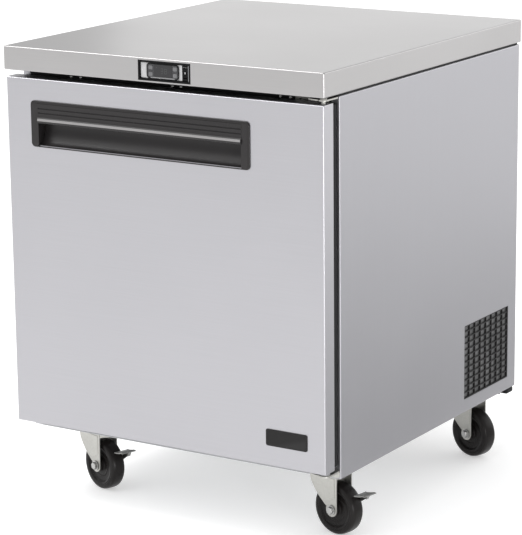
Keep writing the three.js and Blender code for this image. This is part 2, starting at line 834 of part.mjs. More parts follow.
// A pressed fork: two raked legs with round feet, a crown, a front web and the race.
function casterFork() {
  const { trail } = CASTER;
  const axle = WHEEL.radius;
  const foot = 13;
  const legShape = new THREE.Shape();
  legShape.moveTo(-22, 119);
  legShape.lineTo(-23, 108);
  legShape.lineTo(-12, 88);
  legShape.lineTo(trail - foot, axle + 5);
  legShape.absarc(trail, axle, foot, Math.PI, 2 * Math.PI, false);
  legShape.lineTo(trail + foot, 119);
  const legs = [-22, 19.5].map((y) => alongY(legShape, y, y + 2.5));
  const crown = box(-23, trail + foot, -22, 22, 116, 119);
  const web = box(-23, -20.5, -22, 22, 106, 119);
  const race = barZ(27, 118.5, 130.5, 0, 0, 20);
  const holes = [
    barZ(6.5, 110, 132, 0, 0, 16),
    barY(4 + GAP, -30, 30, trail, axle, 16),
  ];
  return cut(join(legs[0], legs[1], crown, web, race), ...holes);
}

// A moulded wheel about Y through the axle, standing on a flat of its rim.
function casterWheel() {
  const { radius, half, sides } = WHEEL;
  const r = radius / Math.cos(Math.PI / sides);
  const profile = [
    [5, -half - 2],
    [12, -half - 2],
    [14, -half + 3],
    [34, -half],
    [r - 4, -half],
    [r, -half + 6],
    [r, half - 6],
    [r - 4, half],
    [34, half],
    [14, half - 3],
    [12, half + 2],
    [5, half + 2],
    [5, -half - 2],
  ];
  const points = profile.map(([a, b]) => new THREE.Vector2(a, b));
  const wheel = new THREE.LatheGeometry(points, sides);
  return geometryOf(solid(wheel)).rotateY(Math.PI / sides);
}

// A hexagon bolt and its nut about Y. The nut stands off where a brake lever sits under it.
function axleBolt(braked) {
  const seat = braked ? 25.5 : 22 + GAP;
  return join(
    barY(4, -27, seat + 5, 0, 0, 16),
    barY(8, -27.5, -22 - GAP, 0, 0, 6),
    barY(8, seat, seat + 5, 0, 0, 6),
  );
}

// A brake lever on the axle bolt, outside the far leg, with its foot tab past the wheel's rim.
function brakeLever() {
  const side = 22 + GAP;
  const thick = 2.5;
  const arm = alongY(
    [
      [-8, -4],
      [0, -9],
      [8, -6],
      [47, 22],
      [53, 31],
      [53, 34.5],
      [44, 34.5],
      [38, 26],
      [-4, 8],
      [-8, 4],
    ],
    side,
    side + thick,
  );
  const tab = alongY(
    [
      [44, 34.5],
      [44, 31.5],
      [56, 32.5],
      [66, 35.5],
      [71, 35],
      [71, 37.5],
      [65, 38.5],
      [55, 35.5],
    ],
    -8,
    side + thick,
  );
  return cut(join(arm, tab), barY(4 + GAP, side - 5, side + 5, 0, 0, 16));
}

function buildCaster(name, x, y, yaw, braked) {
  const caster = new THREE.Group();
  caster.position.set(x, y, 0);
  piece(caster, "caster_plate_" + name, casterPlate(), ZINC);
  const swivel = new THREE.Group();
  swivel.rotation.z = THREE.MathUtils.degToRad(yaw);
  caster.add(swivel);
  piece(swivel, "caster_fork_" + name, casterFork(), ZINC);
  const parts = [
    ["axle_bolt_", axleBolt(braked), ZINC],
    ["wheel_", casterWheel(), RUBBER],
  ];
  if (braked) {
    parts.push(["brake_lever_", brakeLever(), ZINC]);
  }
  for (const [prefix, geometry, finish] of parts) {
    piece(swivel, prefix + name, geometry, finish).position.set(CASTER.trail, 0, WHEEL.radius);
  }
  return caster;
}

// ---------------------------------------------------------------- assembly
const refrigerator = new THREE.Group();
refrigerator.position.x = -ORIGIN_X;
refrigerator.add(buildCabinet());
refrigerator.add(buildShelves());
refrigerator.add(buildRefrigeration());
refrigerator.add(buildHinges());
refrigerator.add(buildDoor());
refrigerator.add(buildController());
refrigerator.add(buildCaster("front_left", -CASTER.x, CASTER.front, -19, true));
refrigerator.add(buildCaster("front_right", CASTER.x, CASTER.front, -12, true));
refrigerator.add(buildCaster("rear_left", -CASTER.x, CASTER.rear, -20, false));
refrigerator.add(buildCaster("rear_right", CASTER.x, CASTER.rear, -17, false));

export default refrigerator;
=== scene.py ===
"""The undercounter refrigerator's looks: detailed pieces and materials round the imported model."""
import json
from math import atan2, cos, pi, radians, sin, tau

import bmesh
import bpy
from mathutils import Matrix, Vector


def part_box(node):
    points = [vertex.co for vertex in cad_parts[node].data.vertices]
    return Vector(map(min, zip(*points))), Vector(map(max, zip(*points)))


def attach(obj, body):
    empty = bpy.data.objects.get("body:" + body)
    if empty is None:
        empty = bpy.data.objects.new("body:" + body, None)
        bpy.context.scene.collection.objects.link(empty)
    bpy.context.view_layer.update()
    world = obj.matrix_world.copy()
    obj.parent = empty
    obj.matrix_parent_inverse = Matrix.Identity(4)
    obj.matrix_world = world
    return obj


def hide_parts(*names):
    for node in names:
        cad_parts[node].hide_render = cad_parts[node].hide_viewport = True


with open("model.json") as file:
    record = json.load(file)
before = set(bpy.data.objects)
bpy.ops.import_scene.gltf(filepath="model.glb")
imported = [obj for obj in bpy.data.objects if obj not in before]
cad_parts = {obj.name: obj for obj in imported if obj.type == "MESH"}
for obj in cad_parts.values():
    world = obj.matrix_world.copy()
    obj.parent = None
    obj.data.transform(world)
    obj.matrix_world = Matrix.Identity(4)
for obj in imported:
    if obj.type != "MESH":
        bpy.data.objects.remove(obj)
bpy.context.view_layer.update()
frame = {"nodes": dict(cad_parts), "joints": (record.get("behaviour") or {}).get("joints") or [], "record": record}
MM = 0.001
LOW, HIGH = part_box("worktop")
CENTRE_X = (LOW.x + HIGH.x) / 2  # the cabinet's centre plane, in the row frame

# Sizes in millimetres that more than one piece uses. Rectangles are low, high, low, high.
SHEET = 1.5  # the steel's thickness
VENT = (155, 345, 162, 312)  # the vent's opening in the right side, in Y and Z
PLUG = (-284, 284, 203, 775)  # the raised panel on the door's inside, in X and Z
PIPE_X, PIPE_Y = 180, 300  # where the suction line crosses the insulation
FINISH = {}  # the first material made for each slot


# ---------------- materials
def surface(slot, name, dark, light, rough, metal=0.0, grain=60, depth=0.15, spread=0.06,
            broad=4.0, coat=0.0, detail=4.0, wear=0.0, specular=0.5):
    """A material with grain in its colour, roughness and bump, and broad smudges over it.

    grain is cycles of fine noise per metre, one number or one for each axis. broad is the
    same for the smudges. wear lightens the sharp edges.
    """
    made = bpy.data.materials.new(name)
    made.use_nodes = True
    nodes, link = made.node_tree.nodes, made.node_tree.links.new

    def add(kind, **sockets):
        """A shader node. An underscore stands for a space in a socket's name."""
        node = nodes.new("ShaderNode" + kind)
        for socket, value in sockets.items():
            node.inputs[socket.replace("_", " ")].default_value = value
        return node

    shader = nodes["Principled BSDF"].inputs
    shader["Metallic"].default_value = metal
    shader["Coat Weight"].default_value = coat
    shader["Specular IOR Level"].default_value = specular
    place = add("TexCoord").outputs["Object"]
    stretch = add("Mapping", Scale=grain if isinstance(grain, tuple) else (grain,) * 3)
    fine = add("TexNoise", Scale=1.0, Detail=detail, Roughness=0.55)
    large = add("TexNoise", Scale=broad, Detail=3.0, Roughness=0.5)
    blend = add("Mix")
    blend.inputs[0].default_value = 0.45
    link(place, stretch.inputs["Vector"])
    link(stretch.outputs["Vector"], fine.inputs["Vector"])
    link(place, large.inputs["Vector"])
    link(fine.outputs["Fac"], blend.inputs[2])
    link(large.outputs["Fac"], blend.inputs[3])
    tone = add("ValToRGB")
    for stop, position, shade in zip(tone.color_ramp.elements, (0.3, 0.7), (dark, light)):
        stop.position, stop.color = position, (*shade, 1)
    link(blend.outputs[0], tone.inputs["Fac"])
    colour = tone.outputs["Color"]
    if wear:
        edges = add("MapRange", From_Min=0.51, From_Max=0.58, To_Max=wear)
        link(add("NewGeometry").outputs["Pointiness"], edges.inputs["Value"])
        worn = add("Mix")
        worn.data_type = "RGBA"
        worn.inputs[7].default_value = (*[min(1.0, c * 1.6 + 0.08) for c in light], 1)
        link(edges.outputs["Result"], worn.inputs[0])
        link(colour, worn.inputs[6])
        colour = worn.outputs[2]
    link(colour, shader["Base Color"])
    gloss = add("MapRange", From_Min=0.3, From_Max=0.7, To_Min=rough - spread,
                To_Max=rough + spread)
    link(blend.outputs[0], gloss.inputs["Value"])
    link(gloss.outputs["Result"], shader["Roughness"])
    relief = add("Bump", Strength=depth, Distance=0.0004)
    link(fine.outputs["Fac"], relief.inputs["Height"])
    link(relief.outputs["Normal"], shader["Normal"])
    FINISH.setdefault(slot, made)
    return made


ACROSS = (6, 1400, 1400)  # brushed along X
UPRIGHT = (1400, 1400, 6)  # brushed along Z
STEEL_TOP = surface("worktop_steel", "steel worktop", (0.368, 0.361, 0.361), (0.416, 0.409, 0.409),
    0.33, 1, ACROSS, 0.06, 0.05, 3)
# The side panels' steel has an upright grain and a rougher finish of its own. Its tone is darker than the door's
# steel, and that darker tone is painted shade for the side faces.
SIDE_STEEL_WITH_PAINTED_SHADE = surface("panel_steel", "steel side with painted shade", (0.362, 0.359, 0.379), (0.4, 0.397, 0.418), 0.42,
    1, UPRIGHT, 0.07, 0.05, 2.5)
STEEL_DOOR = surface("panel_steel", "steel door", (0.405, 0.401, 0.421), (0.45, 0.446, 0.468),
    0.38, 1, ACROSS, 0.07, 0.05, 2.5)
STEEL_WIRE = surface("shelf_steel", "shelf wire", (0.62, 0.63, 0.64), (0.76, 0.77, 0.78), 0.35,
    0.2, 300, 0.1, 0.08, 12)
ZINC = surface("zinc", "zinc plate", (0.3, 0.296, 0.278), (0.42, 0.416, 0.392), 0.36, 0.9, 220,
    0.2, 0.1, 25, wear=0.25)
TAB = surface("zinc", "brake tab", (0.16, 0.16, 0.155), (0.3, 0.3, 0.29), 0.42, 0.85, 220, 0.2,
    0.1, 25, wear=0.2)
BOLT = surface("zinc", "bolt steel", (0.3, 0.3, 0.295), (0.5, 0.5, 0.49), 0.3, 1, 500, 0.15, 0.08,
    30)
SCREW = surface("zinc", "screw head", (0.86, 0.86, 0.85), (0.95, 0.95, 0.94), 0.12, 1, 500, 0.05,
    0.04, 30)
GALVANIZED = surface("galvanized_steel", "galvanized sheet", (0.42, 0.43, 0.44), (0.5, 0.51, 0.52),
    0.46, 0.9, 110, 0.08, 0.07, 3, detail=1.0)
surface("tray_steel", "tray paint", (0.05, 0.05, 0.055), (0.09, 0.09, 0.095), 0.45, 0.0,
    300, 0.2, 0.08, 8, wear=0.3)
STUCCO = surface("liner_aluminium", "stucco aluminium", (0.5, 0.508, 0.515), (0.6, 0.608, 0.615),
    0.4, 0.9, 160, 0.5, 0.06, 4)
FIN = surface("coil_aluminium", "fin aluminium", (0.55, 0.56, 0.57), (0.75, 0.76, 0.77), 0.35, 1,
    (600, 600, 40), 0.15, 0.1, 15)
COPPER = surface("copper", "bare copper", (0.5, 0.22, 0.12), (0.72, 0.4, 0.25), 0.32, 1, 120, 0.15,
    0.12, 20)
BLACK = surface("black_plastic", "moulded black", (0.008, 0.0076, 0.0078), (0.016, 0.015, 0.0155),
    0.46, 0, 900, 0.35, 0.06, 6, wear=0.08, specular=0.2)
HANDLE = surface("black_plastic", "handle charcoal", (0.008, 0.007, 0.0073),
    (0.015, 0.013, 0.0136), 0.3, 0, 900, 0.3, 0.05, 6, wear=0.08, specular=0.27)
# A light grey for the handle's lip: a painted highlight on the black moulding, not a separate trim.
PAINTED_LIP_HIGHLIGHT = surface("black_plastic", "handle lip painted highlight", (0.21, 0.204, 0.204), (0.26, 0.253, 0.253), 0.2, 0,
    900, 0.15, 0.04, 6, specular=0.6)
BEZEL = surface("black_plastic", "bezel black", (0.002, 0.002, 0.0022), (0.005, 0.005, 0.0055),
    0.3, 0, 500, 0.12, 0.05, 12, specular=0.12)
GREY = surface("grey_plastic", "moulded grey", (0.16, 0.16, 0.165), (0.23, 0.23, 0.235), 0.42, 0,
    700, 0.3, 0.06, 8)
KEY = surface("grey_plastic", "key grey", (0.1, 0.1, 0.104), (0.14, 0.14, 0.145), 0.36, 0, 700,
    0.2, 0.05, 8)
FASCIA = surface("grey_plastic", "fascia grey", (0.036, 0.036, 0.038), (0.055, 0.055, 0.058), 0.4,
    0, 700, 0.25, 0.05, 8, specular=0.3)
WHITE = surface("white_plastic", "moulded white", (0.72, 0.73, 0.735), (0.82, 0.825, 0.83), 0.35,
    0, 500, 0.2, 0.06, 5)
LIGHT = surface("white_plastic", "moulded light grey", (0.42, 0.42, 0.425), (0.5, 0.5, 0.505), 0.4,
    0, 700, 0.25, 0.05, 8)
GLASS = surface("black_plastic", "display window", (0.012, 0.012, 0.013), (0.02, 0.02, 0.022),
    0.16, 0, 200, 0.02, 0.03, 20, specular=0.4)
MESH = surface("grey_plastic", "filter mesh", (0.06, 0.06, 0.06), (0.2, 0.2, 0.204), 0.6, 0.3,
    (1200, 900, 900), 0.8, 0.1, 20, detail=1.0)
SEAL = surface("gasket_rubber", "gasket rubber", (0.006, 0.006, 0.0066), (0.013, 0.013, 0.0142),
    0.55, 0, 500, 0.35, 0.08, 12, specular=0.18)
WHEEL = surface("wheel_polyurethane", "wheel tread", (0.0045, 0.0037, 0.0035),
    (0.011, 0.0092, 0.0088), 0.3, 0, 700, 0.12, 0.07, 16, wear=0.06, specular=0.18)
FOAM = surface("foam", "foam", (0.68, 0.58, 0.3), (0.82, 0.73, 0.44), 0.85, 0, 350, 0.9, 0.05, 15)
ENAMEL = surface("compressor_enamel", "compressor enamel", (0.012, 0.012, 0.013),
    (0.025, 0.025, 0.027), 0.22, 0, 90, 0.15, 0.06, 10, coat=0.4, wear=0.1)
DIGIT = surface("black_plastic", "display segments", (0.03, 0.032, 0.032), (0.042, 0.045, 0.045),
    0.3, 0, 400, 0.05, 0.04, 20)


# ---------------- mesh building
def across(axis, u, v, w):
    """The point at w along an axis, and at u and v across it."""
    return {"x": (w, u, v), "y": (u, w, v), "z": (u, v, w)}[axis]


def circle(centre, side, up, radius, sides):
    """Points round a centre, in the plane of side and up."""
    turns = [2 * pi * k / sides for k in range(sides)]
    return [centre + (side * cos(t) + up * sin(t)) * radius for t in turns]


class Piece:
    """A mesh under construction, in millimetres from the cabinet's centre plane and the floor."""

    def __init__(self):
        self.bm = bmesh.new()

    def round_edges(self, faces, width, segments):
        """Bevels the edges where faces meet at more than 25 degrees."""
        edges = dict.fromkeys(e for f in faces for e in f.edges)
        limit = radians(25)
        edges = [e for e in edges if len(e.link_faces) == 2 and e.calc_face_angle(0) > limit]
        bmesh.ops.bevel(self.bm, geom=edges, offset=width, segments=segments, profile=0.5,
                        affect="EDGES", clamp_overlap=True)

    def box(self, x0, x1, y0, y1, z0, z1, r=0.0, segments=2, turn=None):
        """A box between limits, its edges rounded to r; turn is a matrix applied to it."""
        points = [Vector((x, y, z)) for x in (x0, x1) for y in (y0, y1) for z in (z0, z1)]
        verts = [self.bm.verts.new(turn @ p if turn else p) for p in points]
        made = [self.bm.faces.new([verts[i] for i in f]) for f in (
            (0, 1, 3, 2), (4, 6, 7, 5), (0, 4, 5, 1), (2, 3, 7, 6), (0, 2, 6, 4), (1, 5, 7, 3))]
        if r:
            bmesh.ops.recalc_face_normals(self.bm, faces=made)
            self.round_edges(made, r, segments)
        return self

    def loops(self, rings, closed=False):
        """Joins rings of points, each of the same length, with caps at the ends or as a loop."""
        rows = [[self.bm.verts.new(p) for p in ring] for ring in rings]
        pairs = list(zip(rows, rows[1:])) + ([(rows[-1], rows[0])] if closed else [])
        made = [self.bm.faces.new((a[i - 1], a[i], b[i], b[i - 1]))
                for a, b in pairs for i in [*range(1, len(a)), 0]]
        if not closed:
            made += [self.bm.faces.new(rows[0]), self.bm.faces.new(rows[-1])]
        return made

    def shell(self, axis, stages, closed=False, corner=6):
        """Rounded rectangles (u0, u1, v0, v1, radius, w) across an axis, joined in order."""
        def ring(u0, u1, v0, v1, r, w):
            r = max(0.01, min(r, (u1 - u0) / 2 - 1e-3, (v1 - v0) / 2 - 1e-3))
            points = []
            for cu, cv, start in ((u1 - r, v0 + r, -90), (u1 - r, v1 - r, 0),
                                  (u0 + r, v1 - r, 90), (u0 + r, v0 + r, 180)):
                for k in range(corner + 1):
                    a = radians(start + 90 * k / corner)
                    points.append(across(axis, cu + r * cos(a), cv + r * sin(a), w))
            return points
        self.loops([ring(*s) for s in stages], closed)
        return self

    def bar(self, start, end, radius, sides=24, r=0.0):
        """A straight round bar, with its rims cut back by r."""
        start, end = Vector(start), Vector(end)
        along = (end - start).normalized()
        side = along.orthogonal().normalized()
        up = along.cross(side)
        stages = [(start, radius), (end, radius)]
        if r:
            stages = [(start, radius - r), (start + along * r, radius), (end - along * r, radius),
                      (end, radius - r)]
        self.loops([circle(centre, side, up, size, sides) for centre, size in stages])
        return self

    def tube(self, points, radius, sides=10, closed=False):
        """A round bar along points, kept from twisting."""
        points = [Vector(p) for p in points]
        count = len(points)
        rings, side = [], None
        for i, p in enumerate(points):
            before = points[i - 1] if i or closed else p
            after = points[(i + 1) % count] if i < count - 1 or closed else p
            along = (after - before).normalized()
            side = along.orthogonal() if side is None else side - along * side.dot(along)
            side.normalize()
            rings.append(circle(p, side, along.cross(side), radius, sides))
        self.loops(rings, closed)
        return self

    def lathe(self, profile, centre, axis="z", sides=48, closed=False):
        """Turns (radius, height) points about an axis through centre."""
        rings = []
        for r, h in profile:
            ring = []
            for i in range(sides):
                t = 2 * pi * i / sides
                a, b = max(r, 0.02) * cos(t), max(r, 0.02) * sin(t)
                ring.append(Vector(centre) + Vector(across(axis, a, b, h)))
            rings.append(ring)
        self.loops(rings, closed)
        return self

    def prism(self, axis, outline, w0, w1, r=0.0, segments=2):
        """An outline of (u, v) points carried along an axis, its edges rounded to r."""
        made = self.loops([[across(axis, u, v, w) for u, v in outline] for w in (w0, w1)])
        if r:
            bmesh.ops.recalc_face_normals(self.bm, faces=made)
            self.round_edges(made, r, segments)
        return self

    def moved(self, matrix):
        bmesh.ops.transform(self.bm, matrix=matrix, verts=self.bm.verts)
        return self

    def cut(self, *others):
        """Takes other pieces out of this one."""
        subject = self.plain("cut subject")
        tools = [other.plain("cut tool") for other in others]
        for tool in tools:
            step = subject.modifiers.new("cut", "BOOLEAN")
            step.operation, step.solver, step.object = "DIFFERENCE", "EXACT", tool
        view = bpy.context.evaluated_depsgraph_get()
        result = bpy.data.meshes.new_from_object(subject.evaluated_get(view))
        self.bm = bmesh.new()
        self.bm.from_mesh(result)
        bpy.data.meshes.remove(result)
        for obj in [subject, *tools]:
            bpy.data.objects.remove(obj)
        return self

    def plain(self, name):
        bmesh.ops.remove_doubles(self.bm, verts=self.bm.verts, dist=1e-4)
        bmesh.ops.recalc_face_normals(self.bm, faces=self.bm.faces)
        mesh = bpy.data.meshes.new(name)
        self.bm.to_mesh(mesh)
        self.bm.free()
        obj = bpy.data.objects.new(name, mesh)
        bpy.context.scene.collection.objects.link(obj)
        return obj

    def done(self, name, material, replaces=None, body="cabinet", smooth=35):
        """The finished object, in the row frame, riding on a body in a CAD node's stead."""
        obj = self.plain(name)
        obj.data.transform(Matrix.Translation((CENTRE_X, 0, 0)) @ Matrix.Scale(MM, 4))
        obj.data.materials.append(material)
        obj.data.shade_smooth()
        obj.data.set_sharp_from_angle(angle=radians(smooth))
        even = obj.modifiers.new("even shading", "WEIGHTED_NORMAL")
        even.keep_sharp = True
        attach(obj, body)
        if replaces:
            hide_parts(replaces)
        return obj


def arc(cu, cv, radius, start, end, steps=5, tall=None):
    """Points along an arc, in degrees. tall is an oval's radius along its second axis."""
    turns = [radians(start + (end - start) * k / steps) for k in range(steps + 1)]
    return [(cu + radius * cos(t), cv + (tall or radius) * sin(t)) for t in turns]


def inset(rect, radius, pairs, base=0.0):
    """Stages for Piece.shell: a rectangle drawn in by each pair's first value, at its second.

    The second values are counted from base.
    """
    u0, u1, v0, v1 = rect
    return [(u0 + d, u1 - d, v0 + d, v1 - d, max(radius - d, 0.4), base + w) for d, w in pairs]


def screws(name, material, places, normal, radius=3.0, height=1.6):
    """Cross-head screws at places on the cabinet, their heads standing along normal."""
    piece = Piece()
    turn = Vector(normal).to_track_quat("Z", "Y").to_matrix().to_4x4()
    slot_w, slot_l = radius * 0.16, radius * 0.55
    for place in places:
        dome = [(0.05, height), (radius * 0.5, height * 0.92), (radius * 0.85, height * 0.6),
                (radius, height * 0.15), (radius, -0.4), (0.05, -0.4)]
        head = Piece().lathe(dome, (0, 0, 0), "z", 20)
        head.cut(*[Piece().box(-u, u, -v, v, height * 0.45, height + 1)
                   for u, v in ((slot_l, slot_w), (slot_w, slot_l))])
        head.moved(Matrix.Translation(Vector(place)) @ turn)
        mesh = bpy.data.meshes.new("head")
        head.bm.to_mesh(mesh)
        head.bm.free()
        piece.bm.from_mesh(mesh)
        bpy.data.meshes.remove(mesh)
    piece.done(name, material, smooth=40)


# ---------------- sizes, from the CAD boxes
def limits(node):
    """A CAD node's box in millimetres from the cabinet's centre plane: x0, x1, y0, y1, z0, z1."""
    low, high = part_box(node)
    return ((low.x - CENTRE_X) / MM, (high.x - CENTRE_X) / MM, low.y / MM, high.y / MM,
            low.z / MM, high.z / MM)


def pivot(joint):
    """A joint's place in millimetres from the cabinet's centre plane."""
    found = next(j for j in frame["joints"] if j["name"] == joint)
    return Vector(found["pos_m"]) / MM - Vector((CENTRE_X / MM, 0, 0))


# ---------------- worktop and cabinet
def worktop():
    x0, x1, y0, y1, z0, z1 = limits("worktop")
    rect = (x0, x1, y0, y1)
    fold = 2.2
    outside = [(fold - u, v) for u, v in arc(0, z1 - fold, fold, 0, 90, 6)]
    hem = [(2 - u, v) for u, v in arc(0, z0 + 2, 2, -90, 0, 4)]
    inside = [(30, z1 - SHEET), (SHEET + 2, z1 - SHEET), (SHEET, z1 - SHEET - 2),
              (SHEET, z0 + SHEET), (12, z0 + SHEET), (12, z0)]
    made = Piece().shell("z", inset(rect, 3.5, inside + hem + outside + [(30, z1)]))
    bx0, bx1, by0, _, bz0, bz1 = limits("controller_bezel")
    made.cut(Piece().box(bx0 - 0.2, bx1 + 0.2, by0 - 5, by0 + 3.5, bz0 - 0.2, bz1 + 0.2))
    made.done("worktop_pan", STEEL_TOP, "worktop")
    # A black rubber sealing ring on the cabinet's top edge under the worktop. Its black band along the seam is
    # partly the real sealing ring and partly painted shadow for the shadow gap under the worktop's edge. The thin
    # box under the front overhang is a dark sheet put in the shaded gap over the door, and is painted shadow too.
    under, foot = limits("front_frame"), 841.2
    seat = inset((-345, 345, under[2] + 0.5, y1 - 7), 2,
                 [(0, foot), (0, z0 - 0.2), (26, z0 - 0.2), (26, foot)])
    sealing_and_painted_shadow = Piece().shell("z", seat, True)
    sealing_and_painted_shadow.box(x0 + 12.4, x1 - 12.4, y0 + 12.4, under[2] + 8, z0 + 0.4, z0 + 1.4, 0.3)
    sealing_and_painted_shadow.done("worktop_seal_and_painted_shadow", SEAL)


def side_panels():
    for name, side in (("side_panel_left", -1), ("side_panel_right", 1)):
        x0, x1, y0, y1, z0, z1 = limits(name)
        rect = (y0, y1, z0, z1)
        inner, outer = (x0, x1) if side > 0 else (x1, x0)
        under = outer - side * SHEET
        fold = 2.5
        bend = [(fold - u, outer - side * (fold - v)) for u, v in arc(0, 0, fold, 0, 90, 4)]
        stages = inset(rect, 2.0, [(SHEET, under), (SHEET, inner), (0, inner)] + bend)
        if side > 0:
            stages += inset(VENT, 2.0, [(0, outer), (0, under)])
        else:
            stages = inset(rect, 2.0, [(60, under)]) + stages + inset(rect, 2.0, [(60, outer)])
        # The side sheets take the darker steel: painted shade on the side faces.
        Piece().shell("x", stages, closed=side > 0).done(name + "_sheet", SIDE_STEEL_WITH_PAINTED_SHADE, name)


def vent_grille():
    x0, x1, y0, y1, z0, z1 = limits("vent_grille")
    left, right, low, high = VENT
    made = Piece().shell("x", inset((y0, y1, z0, z1), 3, [(0, x1), (0, x0)])
                         + inset(VENT, 2, [(0, x0), (0, x1)]), True)
    columns, rows, face = 8, 12, x1 + 1.2
    made.shell("x", inset(VENT, 2, [(0.2, x1 - 1), (0.2, face), (2.2, face), (2.2, x0)]), True)
    for i in range(1, columns):
        y = left + i * (right - left) / columns
        made.box(x0, face, y - 1.25, y + 1.25, low + 1, high - 1, 0.5)
    for k in range(1, rows):
        z = low + k * (high - low) / rows
        made.box(x0 + 0.3, face - 0.3, left + 1, right - 1, z - 1.15, z + 1.15, 0.4)
    made.done("vent_lattice", BLACK, "vent_grille")
    Piece().shell("x", [(y0 + 1, y1 - 1, z0 + 1, z1 - 1, 2, x0 - back) for back in (1.6, 0.4)]
                  ).done("vent_filter", MESH)


def front_frame():
    x0, x1, y0, y1, z0, z1 = limits("front_frame")
    outer = (x0, x1, z0, z1)
    opening = (-299, 299, 184.5, 790.5)  # the cavity's mouth
    stages = (inset(outer, 1, [(0, y1), (0, y0 + 1), (1, y0)])
              + inset(opening, 10, [(-1.5, y0), (0, y0 + 1.5), (0, y1)]))
    made = Piece().shell("y", stages, True)
    for low in (178, 794):  # the ribs that the gasket closes on
        made.box(-328, 328, y0 - 0.25, y0 + 1, low, low + 3, 0.2)
    made.done("front_frame_moulding", BLACK, "front_frame")
    level = limits("door_skin")[5] - 0.9
    screws("frame_screws", SCREW, [(x, y0, level) for x in (-235, -213, -6, 13, 226, 247)],
           (0, -1, 0), 3.0, 1.4)


# ---------------- door
def door_skin():
    x0, x1, y0, y1, z0, z1 = limits("door_skin")
    rect = (x0, x1, z0, z1)
    hx0, hx1, _, _, hz0, hz1 = limits("door_handle")
    hole = (hx0 + 3, hx1 - 3, hz0 + 3, hz1 - 3)
    fold = 3.2
    bend = [(fold - u, y0 + fold - v) for u, v in arc(0, 0, fold, 90, 0, 5)]
    stages = inset(hole, 4, [(0, y0 + SHEET), (0, y0)]) + inset(rect, 2, bend + [
        (0, y1 - 1), (0.6, y1), (SHEET, y1), (SHEET, y0 + SHEET + 1.5), (SHEET + 2, y0 + SHEET)])
    Piece().shell("y", stages, True).done("door_skin_sheet", STEEL_DOOR, "door_skin", "door")


def door_handle():
    """A recessed pull: a flat rim, a ribbed hood that ends in a lip, and a scoop below it; a light grey strip
    along the lip is a painted highlight.
    """
    x0, x1, y0, y1, z0, z1 = limits("door_handle")
    face, front, deep = y0 + 1.5, y0 + 0.3, y1 - 0.6
    left, right, lip = x0 + 16, x1 - 17, z1 - 37
    made = Piece().shell("y", inset((x0, x1, z0, z1), 8, [
        (0, 1.5), (0, 0.9), (0.5, 0.3), (1.2, 0), (5.5, 0), (6.5, 1.2), (6.5, 1.5)], front), True)
    made.cut(Piece().box(left + 0.5, right - 0.5, front - 2, face + 2, z0 + 1.4, z0 + 9))
    hood = ([(deep, z1 - 5), (front, z1 - 5)]
            + [(front + d, z1 - groove + e) for groove in (14.5, 23)
               for d, e in ((0, 1.2), (1.6, 0.8), (1.6, -0.8), (0, -1.2))]
            + [(front, lip + 6.5)] + arc(front + 0.4, lip, 3, 110, 270, 10, 5.6)
            + [(front + 4.5, lip - 5), (face + 8.5, lip + 2), (face + 10, lip + 12),
               (face + 15, lip + 17), (face + 20, lip + 15), (face + 22.3, lip + 4),
               (deep, lip + 4)])
    made.prism("x", hood, left, right)
    low, deepest, start = z0 + 1.5, face + 22.4, lip - 9
    curve = arc(front, start, deepest - front, 0, 90, 10, low - start)
    made.prism("x", [(deep, lip + 4.5), (deepest, lip + 4.5), *curve, (deep, low)], left, right)
    for inner, outer, way in ((left, x0 + 5, 1), (right, x1 - 5, -1)):
        made.prism("z", [(inner + way, front + 0.4), (inner - way * 2.5, deep), (outer, deep),
                         (outer, front + 0.1)][::way], z0 + 4, z1 - 5)
    made.done("door_pull", HANDLE, "door_handle", "door", 30)
    # A thin light grey strip over the lip's rounded front: a painted highlight along the lip of the same black
    # moulding.
    strip = arc(front + 0.25, lip + 0.1, 3, 142, 190, 6, 5.7)
    strip += [(front + 1.4, v) for _, v in strip[::-1]]
    Piece().prism("x", strip, left + 1, right - 1).done("door_pull_lip_painted_highlight", PAINTED_LIP_HIGHLIGHT, None, "door", 30)


def badge_plate():
    x0, x1, y0, y1, z0, z1 = limits("badge_plate")
    Piece().shell("y", inset((x0, x1, z0, z1), 4, [
        (0, y1 - y0), (0, 0.8), (0.3, 0.3), (0.8, 0.1), (2.6, 0.1), (3.1, 0.5), (3.4, 0.5)], y0)
        ).done("badge_plain", BLACK, "badge_plate", "door")


def door_gasket():
    x0, x1, y0, y1, z0, z1 = limits("door_gasket")
    deep = y1 - y0
    Piece().shell("y", inset((x0, x1, z0, z1), 3, [
        (0.4, 0.2), (0, 1), (0, 3.4), (1.2, 4.6), (2.6, 5.4), (2.6, 6.4), (1.0, 7.4), (0.2, 8.6),
        (0.2, deep - 4), (1.0, deep - 1.6), (2.6, deep), (8, deep + 0.2), (14, deep),
        (15.4, deep - 1.4), (15.4, 9.6), (13.5, 8), (13.6, 6.4), (16, 5), (20.5, 3.4), (20.5, 0.2)],
        y0), True, 3).done("door_gasket_bellows", SEAL, "door_gasket", "door", 60)


